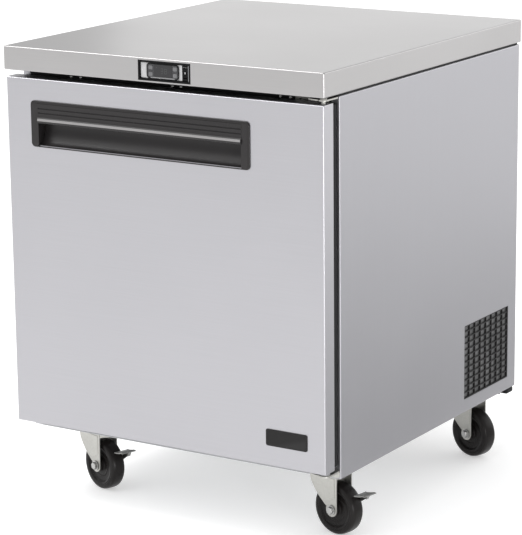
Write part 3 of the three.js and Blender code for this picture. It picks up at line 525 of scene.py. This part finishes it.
# ---------------- casters
def caster(name, braked):
    """A swivel caster, drawn with its wheel trailing along X and then turned to its rest angle."""
    px0, px1, py0, py1, _, pz1 = limits("caster_plate_" + name)
    centre, hub = Vector(((px0 + px1) / 2, (py0 + py1) / 2, 0)), pivot("roll_" + name)
    trail_way = Vector((hub.x - centre.x, hub.y - centre.y, 0))
    trail, axle_z = trail_way.length, 50
    yaw = atan2(trail_way.y, trail_way.x)
    place = Matrix.Translation(centre) @ Matrix.Rotation(yaw, 4, "Z")
    fork = "fork_" + name

    plate = Piece().shell("z", [(px0, px1, py0, py1, 6, z) for z in (131.5, pz1 - 0.2)])
    for x, y in ((u, v) for u in (-37, 37) for v in (-25, 25)):
        x, y = centre.x + x, centre.y + y
        plate.bar((x, y, 131.6), (x, y, 127.5), 6.5, 6, 0.5)
        plate.bar((x, y, 131.6), (x, y, 130.4), 8.5, 20, 0.3)
    plate.lathe([(0.1, 108.5), (5, 108.6), (8.5, 109.6), (9.6, 112), (9.6, 113), (6, 113),
                 (6, 132), (0.1, 132)], centre, "z", 32)
    plate.done("caster_plate_bolted_" + name, ZINC, "caster_plate_" + name)

    side = ([(-20.5, 118.5), (-22, 111), (-19, 98), (-11, 85), (0, 72), (trail - 16, 58)]
            + arc(trail, axle_z, 13.4, 155, 360, 12) + [(trail + 13.4, 60), (trail + 13.2, 118.5)])
    pressed = Piece()
    for y0, y1 in ((-22, -19.5), (19.5, 22)):
        pressed.prism("y", side, y0, y1, 0.7)
    for y0, y1 in ((-22.9, -21.6), (21.6, 22.9)):
        pressed.prism("y", [(-14, 112), (-12, 96), (-2, 84), (trail - 14, 66), (trail - 4, 68),
                            (trail + 8, 74), (trail + 8, 112)], y0, y1, 0.6)
    pressed.shell("z", [(-22 + d, trail + 13 - d, -21.8 + d, 21.8 - d, 7, z)
                        for d, z in ((0, 115.6), (0, 118), (1, 119))])
    pressed.prism("y", [(-22, 117), (-23.6, 110), (-22, 104), (-19.6, 104), (-20.6, 110),
                        (-19.6, 117)], -19.8, 19.8, 0.5)
    pressed.lathe([(7, 118), (29, 118), (30.6, 119.4), (30.6, 121), (28.4, 122.3), (27, 123.4),
                   (27, 125), (28.4, 126), (30.8, 127), (30.8, 129.4), (29.6, 130.6),
                   (7, 130.6)], (0, 0, 0), "z", 48, True)
    pressed.moved(place).done("caster_fork_pressed_" + name, ZINC, "caster_fork_" + name, fork)

    place = place @ Matrix.Translation((trail, 0, axle_z))  # the axle, from here on
    seat = 25.2 if braked else 22.9
    bolt = Piece()
    washer = ((4, 0), (9.6, 0), (9.6, 0.9), (8.8, 1.3), (4, 1.3))
    for y, way in ((-22.9, -1), (seat, 1)):
        bolt.lathe([(r, way * out) for r, out in washer], (0, y, 0), "y", 32, True)
        bolt.bar((0, y + way * 1.3, 0), (0, y + way * 6, 0), 7.6, 6, 0.9)
    bolt.bar((0, -28, 0), (0, seat + 8, 0), 4, 24, 0.8)
    bolt.moved(place).done("axle_bolt_hex_" + name, BOLT, "axle_bolt_" + name, fork)

    half = [(5, 17), (11, 17), (12.4, 16), (13, 12.4), (15, 11), (21, 10.6), (22, 11.2),
            (23.4, 11.2), (24.4, 10.4), (31, 10.2), (33.6, 11.4), (35.6, 14.2), (37.4, 15),
            (39.4, 15), (40, 14.5), (40.8, 14.5), (41.4, 15), (44.4, 14.7), (47.4, 13.2),
            (49.1, 10.6), (49.8, 7), (49.95, 0)]
    tread = [(r, -h) for r, h in half] + half[-2::-1]
    Piece().lathe(tread, (0, 0, 0), "y", 72, True).moved(place).done(
        "wheel_moulded_" + name, WHEEL, "wheel_" + name, "wheel_" + name, 30)

    if braked:
        near, far = 22.4, 24.7
        lever = Piece().prism("y", [(47, 22), (53, 30), (53, 35), (44, 35), (37, 25),
                                    *arc(0, 0, 9, 100, 290, 10)], near, far, 0.5)
        lever.prism("y", [(44, 34.6), (50, 35.2), (58, 36.6), (66, 39), (71.4, 38.2), (71.6, 36.6),
                          (66, 36.6), (58, 34.2), (50, 32.8), (44, 32.2)], -8, far, 0.6)
        lever.prism("y", [(52, 22), (56, 30), (54.6, 33.4), (50.4, 33), (49, 26)], 17, far, 0.6)
        for k in range(3):
            x, z = 57 + k * 4, 35.4 + k * 0.9
            lever.box(x, x + 1.4, -5, far - 3, z, z + 1.9, 0.3)
        lever.moved(place).done("brake_foot_" + name, TAB, "brake_lever_" + name, "brake_" + name)


# ---------------- hinges
def hinges():
    x, y, _ = pivot("door_hinge")
    for node, up in (("top_hinge_bracket", 1), ("bottom_hinge_bracket", -1)):
        x0, x1, _, y1, z0, z1 = limits(node)
        low, high = (z1 - 3, z1) if up > 0 else (148.5, 152)  # the arm that holds the pin
        made = Piece()
        nose = arc(x, y, 9.6, 180, 360, 10)
        made.prism("z", [(302, y1 - 1.2), (306, y - 2), (x - 12, y - 7), *nose[2:], (x1, y1 - 1.2)],
                   low, high, 0.7)
        made.shell("y", inset((x0, x1 if up < 0 else 326, z0, high), 4,
                              [(0, y1 - 0.1), (0, y1 - 1.9), (0.5, y1 - 2.4)]))
        made.bar((x, y, low - (15 if up > 0 else -2)), (x, y, high + (1.5 if up > 0 else 24)),
                 3.9, 28, 0.5)
        cap = high + 0.2 if up > 0 else low - 0.2
        made.lathe([(0.1, cap + up * 2.6), (4.6, cap + up * 2.6), (6.4, cap + up * 1.6),
                    (6.8, cap), (0.1, cap)], (x, y, 0), "z", 28)
        made.done(node + "_pressed", ZINC, node)
        mid = (z0 + (low if up < 0 else z1)) / 2
        screws(node + "_screws", BOLT, [(u, y1 - 2.4, mid) for u in (270, 290)], (0, -1, 0),
               3.4, 1.8)
    Piece().lathe([(4.4, 152.5), (8.6, 152.5), (9.4, 153.3), (9.4, 156.4), (4.4, 156.4)],
                  (x, y, 0), "z", 32, True).done("hinge_bush", GREY, body="door")


# ---------------- controller
def controller():
    x0, x1, y0, y1, z0, z1 = limits("controller_bezel")
    deep = y1 - y0
    Piece().shell("y", inset((x0, x1, z0, z1), 1.6, [
        (0, 4), (0, 0.5), (0.4, 0.1), (1.2, 0), (2.8, 0), (3.4, 0.3), (3.7, 1), (3.7, deep),
        (2, deep)], y0), True).done("controller_surround", BEZEL, "controller_bezel")
    bx0, bx1, by0, _, bz0, bz1 = limits("controller_body")
    plate = Piece().shell("y", inset((bx0 + 0.1, bx1 - 0.1, bz0 + 0.1, bz1 - 0.1), 1,
                                     [(0, 1.8), (0, 0.3), (0.3, 0)], by0))
    plate.cut(Piece().box(54.2, 66.4, by0 - 2, by0 + 4, 856.8, 877.2))  # the rocker's hole
    plate.box(-22, 45, by0 + 1.9, by0 + 40, 855.5, 878.5, 1.2)  # the case behind the panel
    plate.done("controller_backplate", LIGHT, "controller_body")
    fx0, fx1, front, rear, fz0, fz1 = limits("controller_fascia")
    fascia = (fx0, fx1, fz0, fz1)
    keys = {name: limits(name) for name in ("key_set", "key_light", "key_up", "key_down")}
    holes = [Piece().box(a - 0.3, b + 0.3, front - 2, rear + 2, c - 0.3, d + 0.3)
             for a, b, _, _, c, d in keys.values()]
    w0, w1, w2, w3 = (-7.4, 32.4, fz0 + 3.4, fz1 - 1.6)  # the display's window
    holes.append(Piece().box(w0, w1, front - 2, front + 0.9, w2, w3))
    panel = Piece().shell("y", inset(fascia, 6, [
        (0, rear - front), (0, 0.7), (0.3, 0.2), (1, 0), (2.6, 0), (3.2, 0.35)], front))
    panel.cut(*holes).done("controller_panel", FASCIA, "controller_fascia")
    Piece().shell("y", inset(fascia, 6, [
        (-0.6, 0.9), (-0.6, 0.1), (0.3, -0.1), (1.5, -0.1), (1.5, 0.9)], front), True).done(
        "controller_outline", BEZEL)
    Piece().shell("y", inset((fx0 + 8, fx1 - 8, fz0 + 0.6, fz0 + 2.6), 1, [
        (0, 0.4), (0, -0.15), (0.4, -0.3)], front)).done("controller_foot_strip", GREY)
    edge = inset((52.8, bx1 - 0.3, bz0 + 0.3, bz1 - 0.3), 1, [(0, 0.6), (0, -0.4), (0.3, -0.7)],
                 by0)
    mouth = inset((54, 66.6, 857.4, 877.8), 1, [(0, -0.7), (0.2, -0.3), (0.2, 0.6)], by0)
    Piece().shell("y", edge + mouth, True).done("rocker_surround", BEZEL)
    Piece().shell("y", inset((w0 + 0.2, w1 - 0.2, w2 + 0.2, w3 - 0.2), 1, [
        (0, 0.9), (0, 0.25), (0.5, 0)], front)).done("display_window", GLASS)
    digits = Piece()
    flat, upper, lower = (-2, 2), (0.3, 4.6), (-4.6, -0.3)
    strokes = {"a": (*flat, 4, 4.9), "g": (*flat, -0.45, 0.45), "d": (*flat, -4.9, -4),
               "f": (-2.6, -1.8, *upper), "b": (1.8, 2.6, *upper),
               "e": (-2.6, -1.8, *lower), "c": (1.8, 2.6, *lower)}
    for x, digit in ((10, "abcdg"), (18, "abcdefg")):  # the strokes of a 3 and an 8
        for a, b, c, d in (strokes[stroke] for stroke in digit):
            digits.box(x + a, x + b, front - 0.02, front + 0.2, 867.7 + c, 867.7 + d, 0.12)
    digits.bar((-2, front - 0.02, 874), (-2, front + 0.2, 874), 0.9, 16)
    digits.done("display_digits", DIGIT)
    for name, (a, b, c, d, e, f) in keys.items():
        Piece().shell("y", inset((a, b, e, f), 1.6, [
            (0, d - c), (0, 0.7), (0.25, 0.25), (0.8, 0), (2.4, 0.15)], c)
            ).done(name + "_cap", KEY, name, name)
    a, b, c, d, e, f = limits("power_rocker")
    mid = (e + f) / 2
    face = [(c + 0.3 + 0.75 * (1 - abs(k)) + 0.55 * max(k, 0), mid + 8.7 * k)
            for k in (-1, -0.6, -0.25, 0, 0.25, 0.6, 1)]
    Piece().prism("x", [(c + 9.6, mid - 7), *face, (c + 9.6, mid + 7)], a + 0.1, b - 0.1, 0.5).done(
        "power_rocker_cap", BEZEL, "power_rocker", "power_rocker")
    Piece().box((a + b) / 2 - 0.45, (a + b) / 2 + 0.45, c - 0.7, c + 0.4, mid - 1.6, mid + 2, 0.2
                ).done("power_rocker_mark", WHITE, body="power_rocker")
    Piece().box(x1 - 5.6, x1 - 3.8, y0 + 1.2, y0 + 3, z0 + 4, z1 - 4, 0.4).done(
        "controller_ridge", GREY)


# ---------------- inside
def liner():
    """The cavity's sheet, drawn with coved corners and then given its thickness outwards."""
    x0, x1, y0, y1, z0, z1 = limits("liner")
    step_y, step_z, t = 100, 380, SHEET  # the step over the machine compartment
    side = [(y0, z0 + t), (step_y - t, z0 + t), (step_y - t, step_z + t), (y1 - t, step_z + t),
            (y1 - t, z1 - t), (y0, z1 - t)]
    made = Piece()
    left = [made.bm.verts.new((x0 + t, y, z)) for y, z in side]
    right = [made.bm.verts.new((x1 - t, y, z)) for y, z in side]
    for i in range(5):
        made.bm.faces.new((left[i], left[i + 1], right[i + 1], right[i]))
    made.bm.faces.new(left)
    made.bm.faces.new(right)
    bmesh.ops.recalc_face_normals(made.bm, faces=made.bm.faces)
    made.round_edges(list(made.bm.faces), 9, 4)
    bmesh.ops.triangulate(made.bm, faces=[f for f in made.bm.faces if len(f.verts) > 4])
    obj = made.done("liner_sheet", STUCCO, "liner", smooth=40)
    thick = obj.modifiers.new("thickness", "SOLIDIFY")
    thick.thickness, thick.offset = t * MM * 0.9, 1


def door_liner():
    """The door's inner sheet: a flat margin, and a raised panel with a shallow field."""
    x0, x1, y0, y1, z0, z1 = limits("door_liner")
    rim = (x0, x1, z0, z1)
    back = limits("door_skin")[3]
    stages = (inset(rim, 2, [(0, -2.4), (0, -0.2), (0.2, 0)], back)
              + inset(PLUG, 16, [(-3.5, 0), (-1.6, 0.6), (-0.4, 2.2), (0.2, 5)], back)
              + inset(PLUG, 16, [(1.4, -5), (2.2, -2.4), (4, -0.6), (6.4, 0), (34, 0), (36, -0.7),
                                 (37.6, -3), (38.6, -5.6), (41, -6.4)], y1))
    Piece().shell("y", stages).done("door_liner_formed", STUCCO, "door_liner", "door", 40)
    x0, x1, y0, _, z0, z1 = limits("door_foam")
    pocket = limits("door_handle")
    core = Piece().box(x0, x1, y0, back - 3, z0, z1, 2)
    core.cut(Piece().box(pocket[0], pocket[1], y0 - 5, pocket[3] + 0.4, pocket[4], pocket[5]))
    core.box(PLUG[0] + 12, PLUG[1] - 12, back - 3.2, y1 - 9, PLUG[2] + 12, PLUG[3] - 12, 6)
    core.done("door_foam_core", FOAM, "door_foam", "door")


def shelves():
    for node in ("shelf_lower", "shelf_upper"):
        x0, x1, y0, y1, z0, z1 = limits(node)
        rim_z, top = z0 + 3, z0 + 5.4
        made = Piece()
        loop = []
        for cx, cy, start in ((x1 - 13, y0 + 13, -90), (x1 - 13, y1 - 13, 0),
                              (x0 + 13, y1 - 13, 90), (x0 + 13, y0 + 13, 180)):
            loop += [(u, v, rim_z) for u, v in arc(cx, cy, 10, start, start + 90, 5)]
        made.tube(loop, 3, 12, True)
        for y in (y0 + 170, y1 - 170):
            made.bar((x0 + 3, y, rim_z - 0.6), (x1 - 3, y, rim_z - 0.6), 2.4, 12)
        end, gaps = [(2.2, rim_z + 0.4), (3.4, top), (8, top + 0.1)], 23
        for i in range(1, gaps):
            x = x0 + (x1 - x0) * i / gaps
            made.tube([(x, y0 + d, z) for d, z in end] + [(x, y1 - d, z) for d, z in end[::-1]],
                      1.5, 8)
        made.done(node + "_wires", STEEL_WIRE, node)
    for node, side in (("shelf_rack_left", -1), ("shelf_rack_right", 1)):
        x0, x1, y0, y1, z0, z1 = limits(node)
        wall = x1 if side > 0 else x0
        made = Piece()

        def strip(near, far, *rest):
            """A box between two distances from the side wall."""
            made.box(*sorted((wall - side * near, wall - side * far)), *rest)

        for y, low in ((-250, z0), (170, 385)):
            lo, hi = y - 12, y + 12
            strip(0, 9, lo, lo + 1.4, low, z1, 0.4)
            strip(0, 9, hi - 1.4, hi, low, z1, 0.4)
            strip(7.6, 9, lo, lo + 8.5, low, z1, 0.4)
            strip(7.6, 9, hi - 8.5, hi, low, z1, 0.4)
            z = low
            while z < z1 - 6:
                strip(7.6, 9, lo + 8, hi - 8, z, z + 7)
                z += 12.5
        for top in (limits("shelf_lower")[4], limits("shelf_upper")[4]):
            strip(9.4, 22, y0 + 1, y1 - 1, top - 1.8, top - 0.4, 0.4)
            strip(8.6, 10, y0 + 1, y1 - 1, top - 5, top - 0.4, 0.4)
            for y in (-250, 170):
                strip(7.6, 11, y - 5, y + 5, top - 5, top - 0.6, 0.6)
        made.done(node + "_slotted", STEEL_WIRE, node)


def blades(fan, axis, hub):
    """A fan: five swept blades with a twist and a domed hub."""
    x0, x1, y0, y1, z0, z1 = limits(fan)
    width, depth = (y1 - y0, x1 - x0) if axis == "x" else (x1 - x0, y1 - y0)
    radius = max(width, z1 - z0) / 2 - 0.5
    made = Piece()
    for k in range(5):
        rows = []
        for i in range(9):
            part, ring = i / 8, []
            r = hub - 2 + (radius - hub + 2) * i / 8
            chord, pitch = 0.62 - 0.12 * part, depth * (0.42 - 0.1 * part)
            for half, steps in ((0.5, range(7)), (-0.5, range(6, -1, -1))):
                for u in [j / 6 for j in steps]:
                    t = k * tau / 5 + 0.35 * part ** 1.5 + chord * (u - 0.5) * 1.5
                    ring.append((r * cos(t), r * sin(t),
                                 pitch * (2 * u - 1) + half + 1.2 * sin(pi * u)))
            rows.append(ring)
        made.loops(rows)
    h = depth / 2
    made.lathe([(0.1, h), (hub * 0.6, h), (hub * 0.9, h - 0.8), (hub, h - 2.2), (hub, -h + 0.4),
                (hub - 1.5, -h), (hub - 1.5, -h + 1), (0.1, -h + 1)], (0, 0, 0), "z", 36)
    turn = Matrix.Rotation(pi / 2, 4, "Y" if axis == "x" else "X")
    made.moved(Matrix.Translation(pivot(fan + "_spin")) @ turn)
    made.done(fan + "_blades", GREY, fan, fan, 45)


def evaporator():
    x0, x1, y0, y1, z0, z1 = limits("evaporator_cover")
    centre_z = sum(limits("evaporator_fan")[4:]) / 2
    rect = (x0, x1, z0, z1)
    hole = (-64, 64, centre_z - 64, centre_z + 64)
    fold = 6
    bend = [(fold - u, y0 + fold - v) for u, v in arc(0, 0, fold, 90, 0, 5)]
    stages = (inset(hole, 64, [(0, 9), (0, 2), (-1.5, 0.4), (-4, 0)], y0)
              + inset(rect, 8, bend + [(0, y1), (SHEET, y1), (SHEET, y0 + 7)])
              + inset(hole, 64, [(-7, 1.8), (-2, 4), (-1.5, 9)], y0))
    cuts = [Piece().box(PIPE_X - 9, PIPE_X + 9, 291, y1 + 5, z0 - 5, z0 + 4)]
    for left in range(-214, 95, 44):  # air slots
        cuts.append(Piece().box(left, left + 30, 252, 275, z0 - 5, z0 + 4))
        cuts.append(Piece().box(left + 44, left + 74, 252, 288, z1 - 4, z1 + 5))
    Piece().shell("y", stages, True, 12).cut(*cuts).done(
        "evaporator_housing", WHITE, "evaporator_cover", smooth=40)
    guard = Piece()
    for r in (14, 25, 36, 47, 58, 66):
        ring = arc(0, centre_z, r, 0, 360, 48)[:-1]
        guard.tube([(u, y0 - 1.6, v) for u, v in ring], 0.9, 8, True)
    for k in range(8):
        t = tau * k / 8 + 0.2
        guard.tube([(r * cos(t), y0 - out, centre_z + r * sin(t))
                    for r, out in ((12, 0.4), (60, 0.4), (68, 0.2))], 1.0, 8)
    guard.lathe([(0.1, y0 - 2.2), (11, y0 - 2.2), (12, y0 - 1.4), (12, y0 - 0.4), (0.1, y0 - 0.4)],
                (0, 0, centre_z), "y", 32)
    guard.done("evaporator_fan_guard", STEEL_WIRE)
    screws("evaporator_screws", BOLT,
           [(sx * 236, y0, z) for sx in (-1, 1) for z in (z0 + 14, z1 - 14)], (0, -1, 0), 3.4, 1.4)
    coil("evaporator_fins", "evaporator_coil", 82, 0, 3)
    x0, x1, y0 = limits("evaporator_fan_motor")[:3]
    motor = Piece().lathe([(0.1, 0), (16, 0), (20.5, 1.5), (22, 4), (22, 15), (0.1, 15)],
                          (0, y0, centre_z), "y", 40)
    motor.box(x0, x1, y0 + 15, y0 + 17.6, centre_z - 12, centre_z + 12, 0.8)
    for x in (-40, 40):
        motor.box(x - 3, x + 3, y0 + 14, y0 + 15.4, centre_z - 11, centre_z + 11, 0.5)
    motor.done("evaporator_motor", GREY, "evaporator_fan_motor")


def coil(name, node, fins, along, rows):
    """Thin fins across round tubes, with return bends. along is 0 for X, 1 for Y."""
    c = limits(node)
    low, high = c[2 * along], c[2 * along + 1]
    a0, a1 = c[2 - 2 * along], c[3 - 2 * along]
    z0, z1 = c[4:]

    def slabs(places, thickness, a0, a1, *rest):
        """Boxes across the coil, one at each place along it."""
        made = Piece()
        for u in places:
            sides = (u, u + thickness, a0, a1) if along == 0 else (a0, a1, u, u + thickness)
            made.box(*sides, *rest)
        return made

    fin_gap = (high - low - 24) / (fins - 1)
    slabs([low + 11.75 + fin_gap * i for i in range(fins)], 0.5, a0 + 0.5, a1 - 0.5, z0, z1).done(
        name, FIN, node, smooth=30)
    pipes = Piece()
    levels = [z0 + 13 + (z1 - z0 - 26) * k / 5 for k in range(6)]
    for j in range(rows):
        path = []
        for k, z in enumerate(levels):
            start, end, way = (low + 10, high - 10, 1) if k % 2 == 0 else (high - 10, low + 10, -1)
            path += [(start, z), (end, z)]
            if k < 5:
                half = (levels[k + 1] - z) / 2
                path += [(end + way * min(8, half) * sin(t), z + half - half * cos(t))
                         for t in [pi * q / 6 for q in range(1, 6)]]
        side = a0 + (a1 - a0) * (j + 0.5) / rows
        pipes.tube([(u, side, z) if along == 0 else (side, u, z) for u, z in path], 3.4, 10)
    pipes.done(name + "_tubes", COPPER)
    slabs((low + 9.6, high - 11), 1.4, a0, a1, z0 - 0.2, z1 + 0.2, 0.4).done(
        name + "_end_plates", GALVANIZED)


# ---------------- machine compartment and back
def compressor():
    x0, x1, y0, y1, z0, _ = limits("compressor")
    cx, cy = (x0 + x1) / 2, (y0 + y1) / 2
    made = Piece()
    made.lathe([(0.1, 7), (52, 7), (66, 11), (75, 22), (77.5, 34), (77.5, 66), (77.8, 68),
                (77.8, 72), (76.6, 74), (76.4, 98), (73, 114), (64, 128), (50, 138), (32, 144.4),
                (12, 147), (0.1, 147.4)], (cx, cy, z0), "z", 72)
    made.box(x0, x1, cy - 68, cy + 68, z0 + 6, z0 + 9, 1)
    for x, y in ((cx + u, cy + v) for u in (-82, 82) for v in (-58, 58)):
        made.lathe([(3.4, 0.2), (8.6, 0.2), (9, 1.2), (8, 3), (9, 5.4), (9, 6), (3.4, 6)],
                   (x, y, z0), "z", 24, True)
        made.bar((x, y, z0 + 1), (x, y, z0 + 14), 3, 12, 0.4)
    made.tube([(cx + u, cy + v, z0 + w) for u, v, w in (
        (60, -34, 60), (72, -42, 62), (84, -44, 70), (86, -44, 96))], 4, 12)
    made.done("compressor_shell", ENAMEL, "compressor", smooth=40)
    Piece().box(cx - 98, cx - 74, cy - 24, cy + 24, z0 + 44, z0 + 96, 3, 3).done(
        "compressor_terminal_box", BLACK)


def condenser():
    coil("condenser_fins", "condenser_coil", 56, 1, 2)
    cx, cy, cz = pivot("condenser_fan_spin")
    hole = (cy - 74, cy + 74, cz - 74, cz + 74)
    rect = (cy - 95, cy + 95, cz - 86, cz + 88)
    made = Piece().shell("x", inset(rect, 4, [(0.8, 15), (0, 14.2), (0, 12)], cx) + inset(
        hole, 74, [(-3, 12), (-2.6, 10), (-2.4, -9), (-1.6, -10), (0, -10), (0, 13), (-1.5, 15)],
        cx), True, 12)
    for k in range(3):
        turn = Matrix.Translation((0, cy, cz)) @ Matrix.Rotation(k * tau / 3, 4, "X")
        made.box(cx - 38, cx - 34.4, -4.6, 4.6, 14, 79, 1, turn=turn)
        made.box(cx - 38, cx - 6, -4.6, 4.6, 75.6, 79.4, 0.8, turn=turn)
    made.lathe([(0.1, -46), (19, -46), (22.6, -44.6), (24, -41), (24, -17), (22.6, -14.6),
                (0.1, -14.4)], (cx, cy, cz), "x", 48)
    made.done("condenser_fan_shroud", BLACK, "condenser_fan_housing", smooth=40)


def machine_lining():
    """The sheet over the foam, on the front wall and ceiling of the machine compartment."""
    _, _, front, _, _, low = limits("machine_tray")
    roof = limits("back_panel")[4]
    made = Piece().prism("x", [
        (front + 0.1, low + 0.3), (front + 0.1, roof), (front + 228, roof),
        (front + 228, roof - 0.9), (front + 1, roof - 0.9), (front + 1, low + 0.3)], -345.6, 345.6)
    made.cut(Piece().bar((PIPE_X, PIPE_Y, roof - 8), (PIPE_X, PIPE_Y, roof + 8), 7.4, 24))
    made.done("machine_room_lining", GALVANIZED)
    Piece().lathe([(5.2, 2), (7.2, 2), (7.2, 0.2), (11, -1), (11, -3), (9, -4), (5.2, -4)],
                  (PIPE_X, PIPE_Y, roof), "z", 32, True).done("suction_grommet", SEAL)


def suction_line():
    """Straight down from the evaporator, and then in a curve through points to the compressor."""
    x, y = PIPE_X, PIPE_Y
    drop = (limits("suction_line")[5], 500, 400, 340, 326)
    route = [Vector((x, y, z)) for z in drop] + [Vector(p) for p in (
        (x - 8, y, 310), (x - 32, y, 303), (60, y, 303), (-10, y, 303), (-32, y - 6, 296),
        (-40, y - 22, 272), (-44, 264, 250), (-56, 262, 236), (-71, 262, 234))]
    smooth = []
    for i in range(len(route) - 1):
        a, b, c, d = (route[min(max(i + k, 0), len(route) - 1)] for k in (-1, 0, 1, 2))
        for t in (q / 6 for q in range(6)):
            smooth.append(0.5 * (2 * b + (c - a) * t + (2 * a - 5 * b + 4 * c - d) * t ** 2
                                 + (3 * b - a - 3 * c + d) * t ** 3))
    Piece().tube([*smooth, route[-1]], 4.8, 16).done("suction_pipe", COPPER, "suction_line")


def back():
    x0, x1, y0, y1, z0, z1 = limits("back_panel")
    field = [(0, y0 - y1), (0, -0.5), (0.5, -0.1), (40, -0.1), (43, -1.2), (46, -1.4)]
    Piece().shell("y", inset((x0, x1, z0, z1), 1, field, y1)).done(
        "back_sheet", GALVANIZED, "back_panel")
    edge = [(x, y1 - 0.1, z) for x in (-318, 318) for z in (350, 500, 650, 820)]
    screws("back_screws", BOLT, edge + [(0, y1 - 0.1, z) for z in (820, 345)], (0, 1, 0), 3.8, 1.6)
    x0, x1, y0, y1, z0, z1 = limits("rear_cover")
    cover = Piece().shell("y", inset((x0, x1, z0, z1), 3, [(0, y0), (0, y1 - 0.6), (0.6, y1)]))
    first, pitch, rows = 196, 17, 7
    slots = [(x, first + k * pitch) for x in (-200, 0, 200) for k in range(rows)]
    cuts = [Piece().shell("y", [(x - 75, x + 75, z, z + 6, 2.9, w) for w in (y0 - 4, y1 + 4)])
            for x, z in slots]
    gx0, gx1, gy0, _, gz0, gz1 = limits("cord_gland")
    gx, gz = (gx0 + gx1) / 2, (gz0 + gz1) / 2
    cover.cut(*cuts, Piece().bar((gx, y0 - 4, gz), (gx, y1 + 4, gz), 9.4, 32))
    for x, z in slots:
        hood = [(y1 + out, z + up) for out, up in ((-0.4, 7.8), (2.6, 1.8), (3.4, 2), (0.4, 8.8))]
        cover.prism("x", hood, x - 74, x + 74, 0.3)
    cover.done("rear_cover_louvred", GALVANIZED, "rear_cover", smooth=40)
    edge = [(x, y1, z) for x in (-318, 318) for z in (152, 235, 318)]
    screws("rear_cover_screws", BOLT, edge + [(0, y1, 150), (0, y1, 322)], (0, 1, 0), 3.8, 1.6)
    Piece().lathe([(4.2, gy0 - y1), (9, gy0 - y1), (9, 0.2), (13, 0.2), (13, 1.6), (11.4, 3.4),
                   (4.2, 3.4)], (gx, y1, gz), "y", 40, True).done(
        "power_inlet_gland", BLACK, "cord_gland")
    _, _, _, rear, low, _ = limits("machine_tray")
    ends = Piece()
    for a, b in ((-345, -318), (318, 345)):
        ends.box(a, b, 352, rear - 0.5, low + 0.5, 134.2, 3.4, 4)
    ends.done("tray_end_caps", SEAL)


# ---------------- build
worktop()
side_panels()
vent_grille()
front_frame()
door_skin()
door_handle()
badge_plate()
door_gasket()
for caster_name, has_brake in (("front_left", True), ("front_right", True),
                               ("rear_left", False), ("rear_right", False)):
    caster(caster_name, has_brake)
hinges()
controller()
liner()
door_liner()
shelves()
evaporator()
blades("evaporator_fan", "y", 16)
compressor()
condenser()
blades("condenser_fan", "x", 18)
machine_lining()
suction_line()
back()
for subpart in frame["record"]["subparts"]:  # the CAD nodes that still show
    carried = frame["nodes"][subpart["node"]].data.materials
    carried.clear()
    carried.append(FINISH[subpart["material_slot"]])


# ---------------- studio
def placed(name, data, at=(0, 0, 0), sight=None, roll=0.0):
    """An object in the scene that looks along sight."""
    obj = bpy.data.objects.new(name, data)
    obj.location = at
    if sight:
        turn = Vector(sight).to_track_quat("-Z", "Y")
        obj.rotation_mode = "QUATERNION"
        obj.rotation_quaternion = turn @ Matrix.Rotation(roll, 3, "Z").to_quaternion()
    bpy.context.scene.collection.objects.link(obj)
    return obj


def ground(name, x0, x1, y0, y1, z, dark, light, rough):
    """A flat grey sheet that belongs to the studio."""
    mesh = bpy.data.meshes.new(name)
    mesh.from_pydata([(x0, y0, z), (x1, y0, z), (x1, y1, z), (x0, y1, z)], [], [(0, 1, 2, 3)])
    mesh.materials.append(surface("studio", name.replace("_", " "), (dark,) * 3, (light,) * 3,
                                  rough, 0, 20, 0.0, 0.02, 0.5))
    obj = placed(name, mesh)
    return obj


def softbox(name, place, aim, size, power):
    """A rectangular lamp that the camera doesn't see."""
    light = bpy.data.lights.new(name, "AREA")
    light.shape, light.size, light.size_y, light.energy = "RECTANGLE", size[0], size[1], power
    placed(name, light, place, Vector(aim) - Vector(place)).visible_camera = False


floor = ground("studio_floor", -30, 30, -30, 30, 0, 0.74, 0.76, 0.8)
glow = floor.data.materials[0].node_tree.nodes["Principled BSDF"].inputs
glow["Emission Color"].default_value = (1, 1, 1, 1)
glow["Emission Strength"].default_value = 0.42

world = bpy.context.scene.world or bpy.data.worlds.new("studio")
bpy.context.scene.world = world
world.use_nodes = True
world.node_tree.nodes["Background"].inputs["Color"].default_value = (1, 1, 1, 1)
world.node_tree.nodes["Background"].inputs["Strength"].default_value = 0.8
bpy.context.scene.view_settings.view_transform = "Standard"

sun = bpy.data.lights.new("overhead", "SUN")
sun.energy, sun.angle = 1.5, radians(60)
placed("overhead", sun, sight=(0.45, 0.5, -1.0))
softbox("corner", (2.6, -1.75, 0.35), (0.35, -0.38, 0.5), (0.5, 0.7), 20)
softbox("fold", (-1.6, -1.0, 3.2), (0, -0.3, 0.8), (0.8, 1.8), 30)
softbox("side", (2.1, 2.8, 1.6), (0.35, 0.1, 0.9), (3.2, 1.6), 23)
softbox("top", (-0.8, 2.3, 1.45), (0.1, 0, 0.89), (2.1, 1.1), 3.7)

# A grey card on the floor, seen only in the right side panel's reflections.
card = ground("studio_card", 0.5, 1.7, -0.3, 2.3, 0.01, 0.58, 0.62, 0.9)
card.visible_camera = card.visible_shadow = card.visible_diffuse = False

# The photograph's viewpoint: focal length 165.9 mm on a 36 mm sensor along the longer side.
camera = bpy.data.cameras.new("camera")
camera.lens, camera.sensor_width, camera.clip_end = 165.9, 36.0, 100
YAW, PITCH, ROLL = radians(32.21), radians(-13.51), -0.011
bpy.context.scene.camera = placed(
    "camera", camera, (2.505 + CENTRE_X, -4.017, 1.560),
    (-sin(YAW) * cos(PITCH), cos(YAW) * cos(PITCH), sin(PITCH)), ROLL)
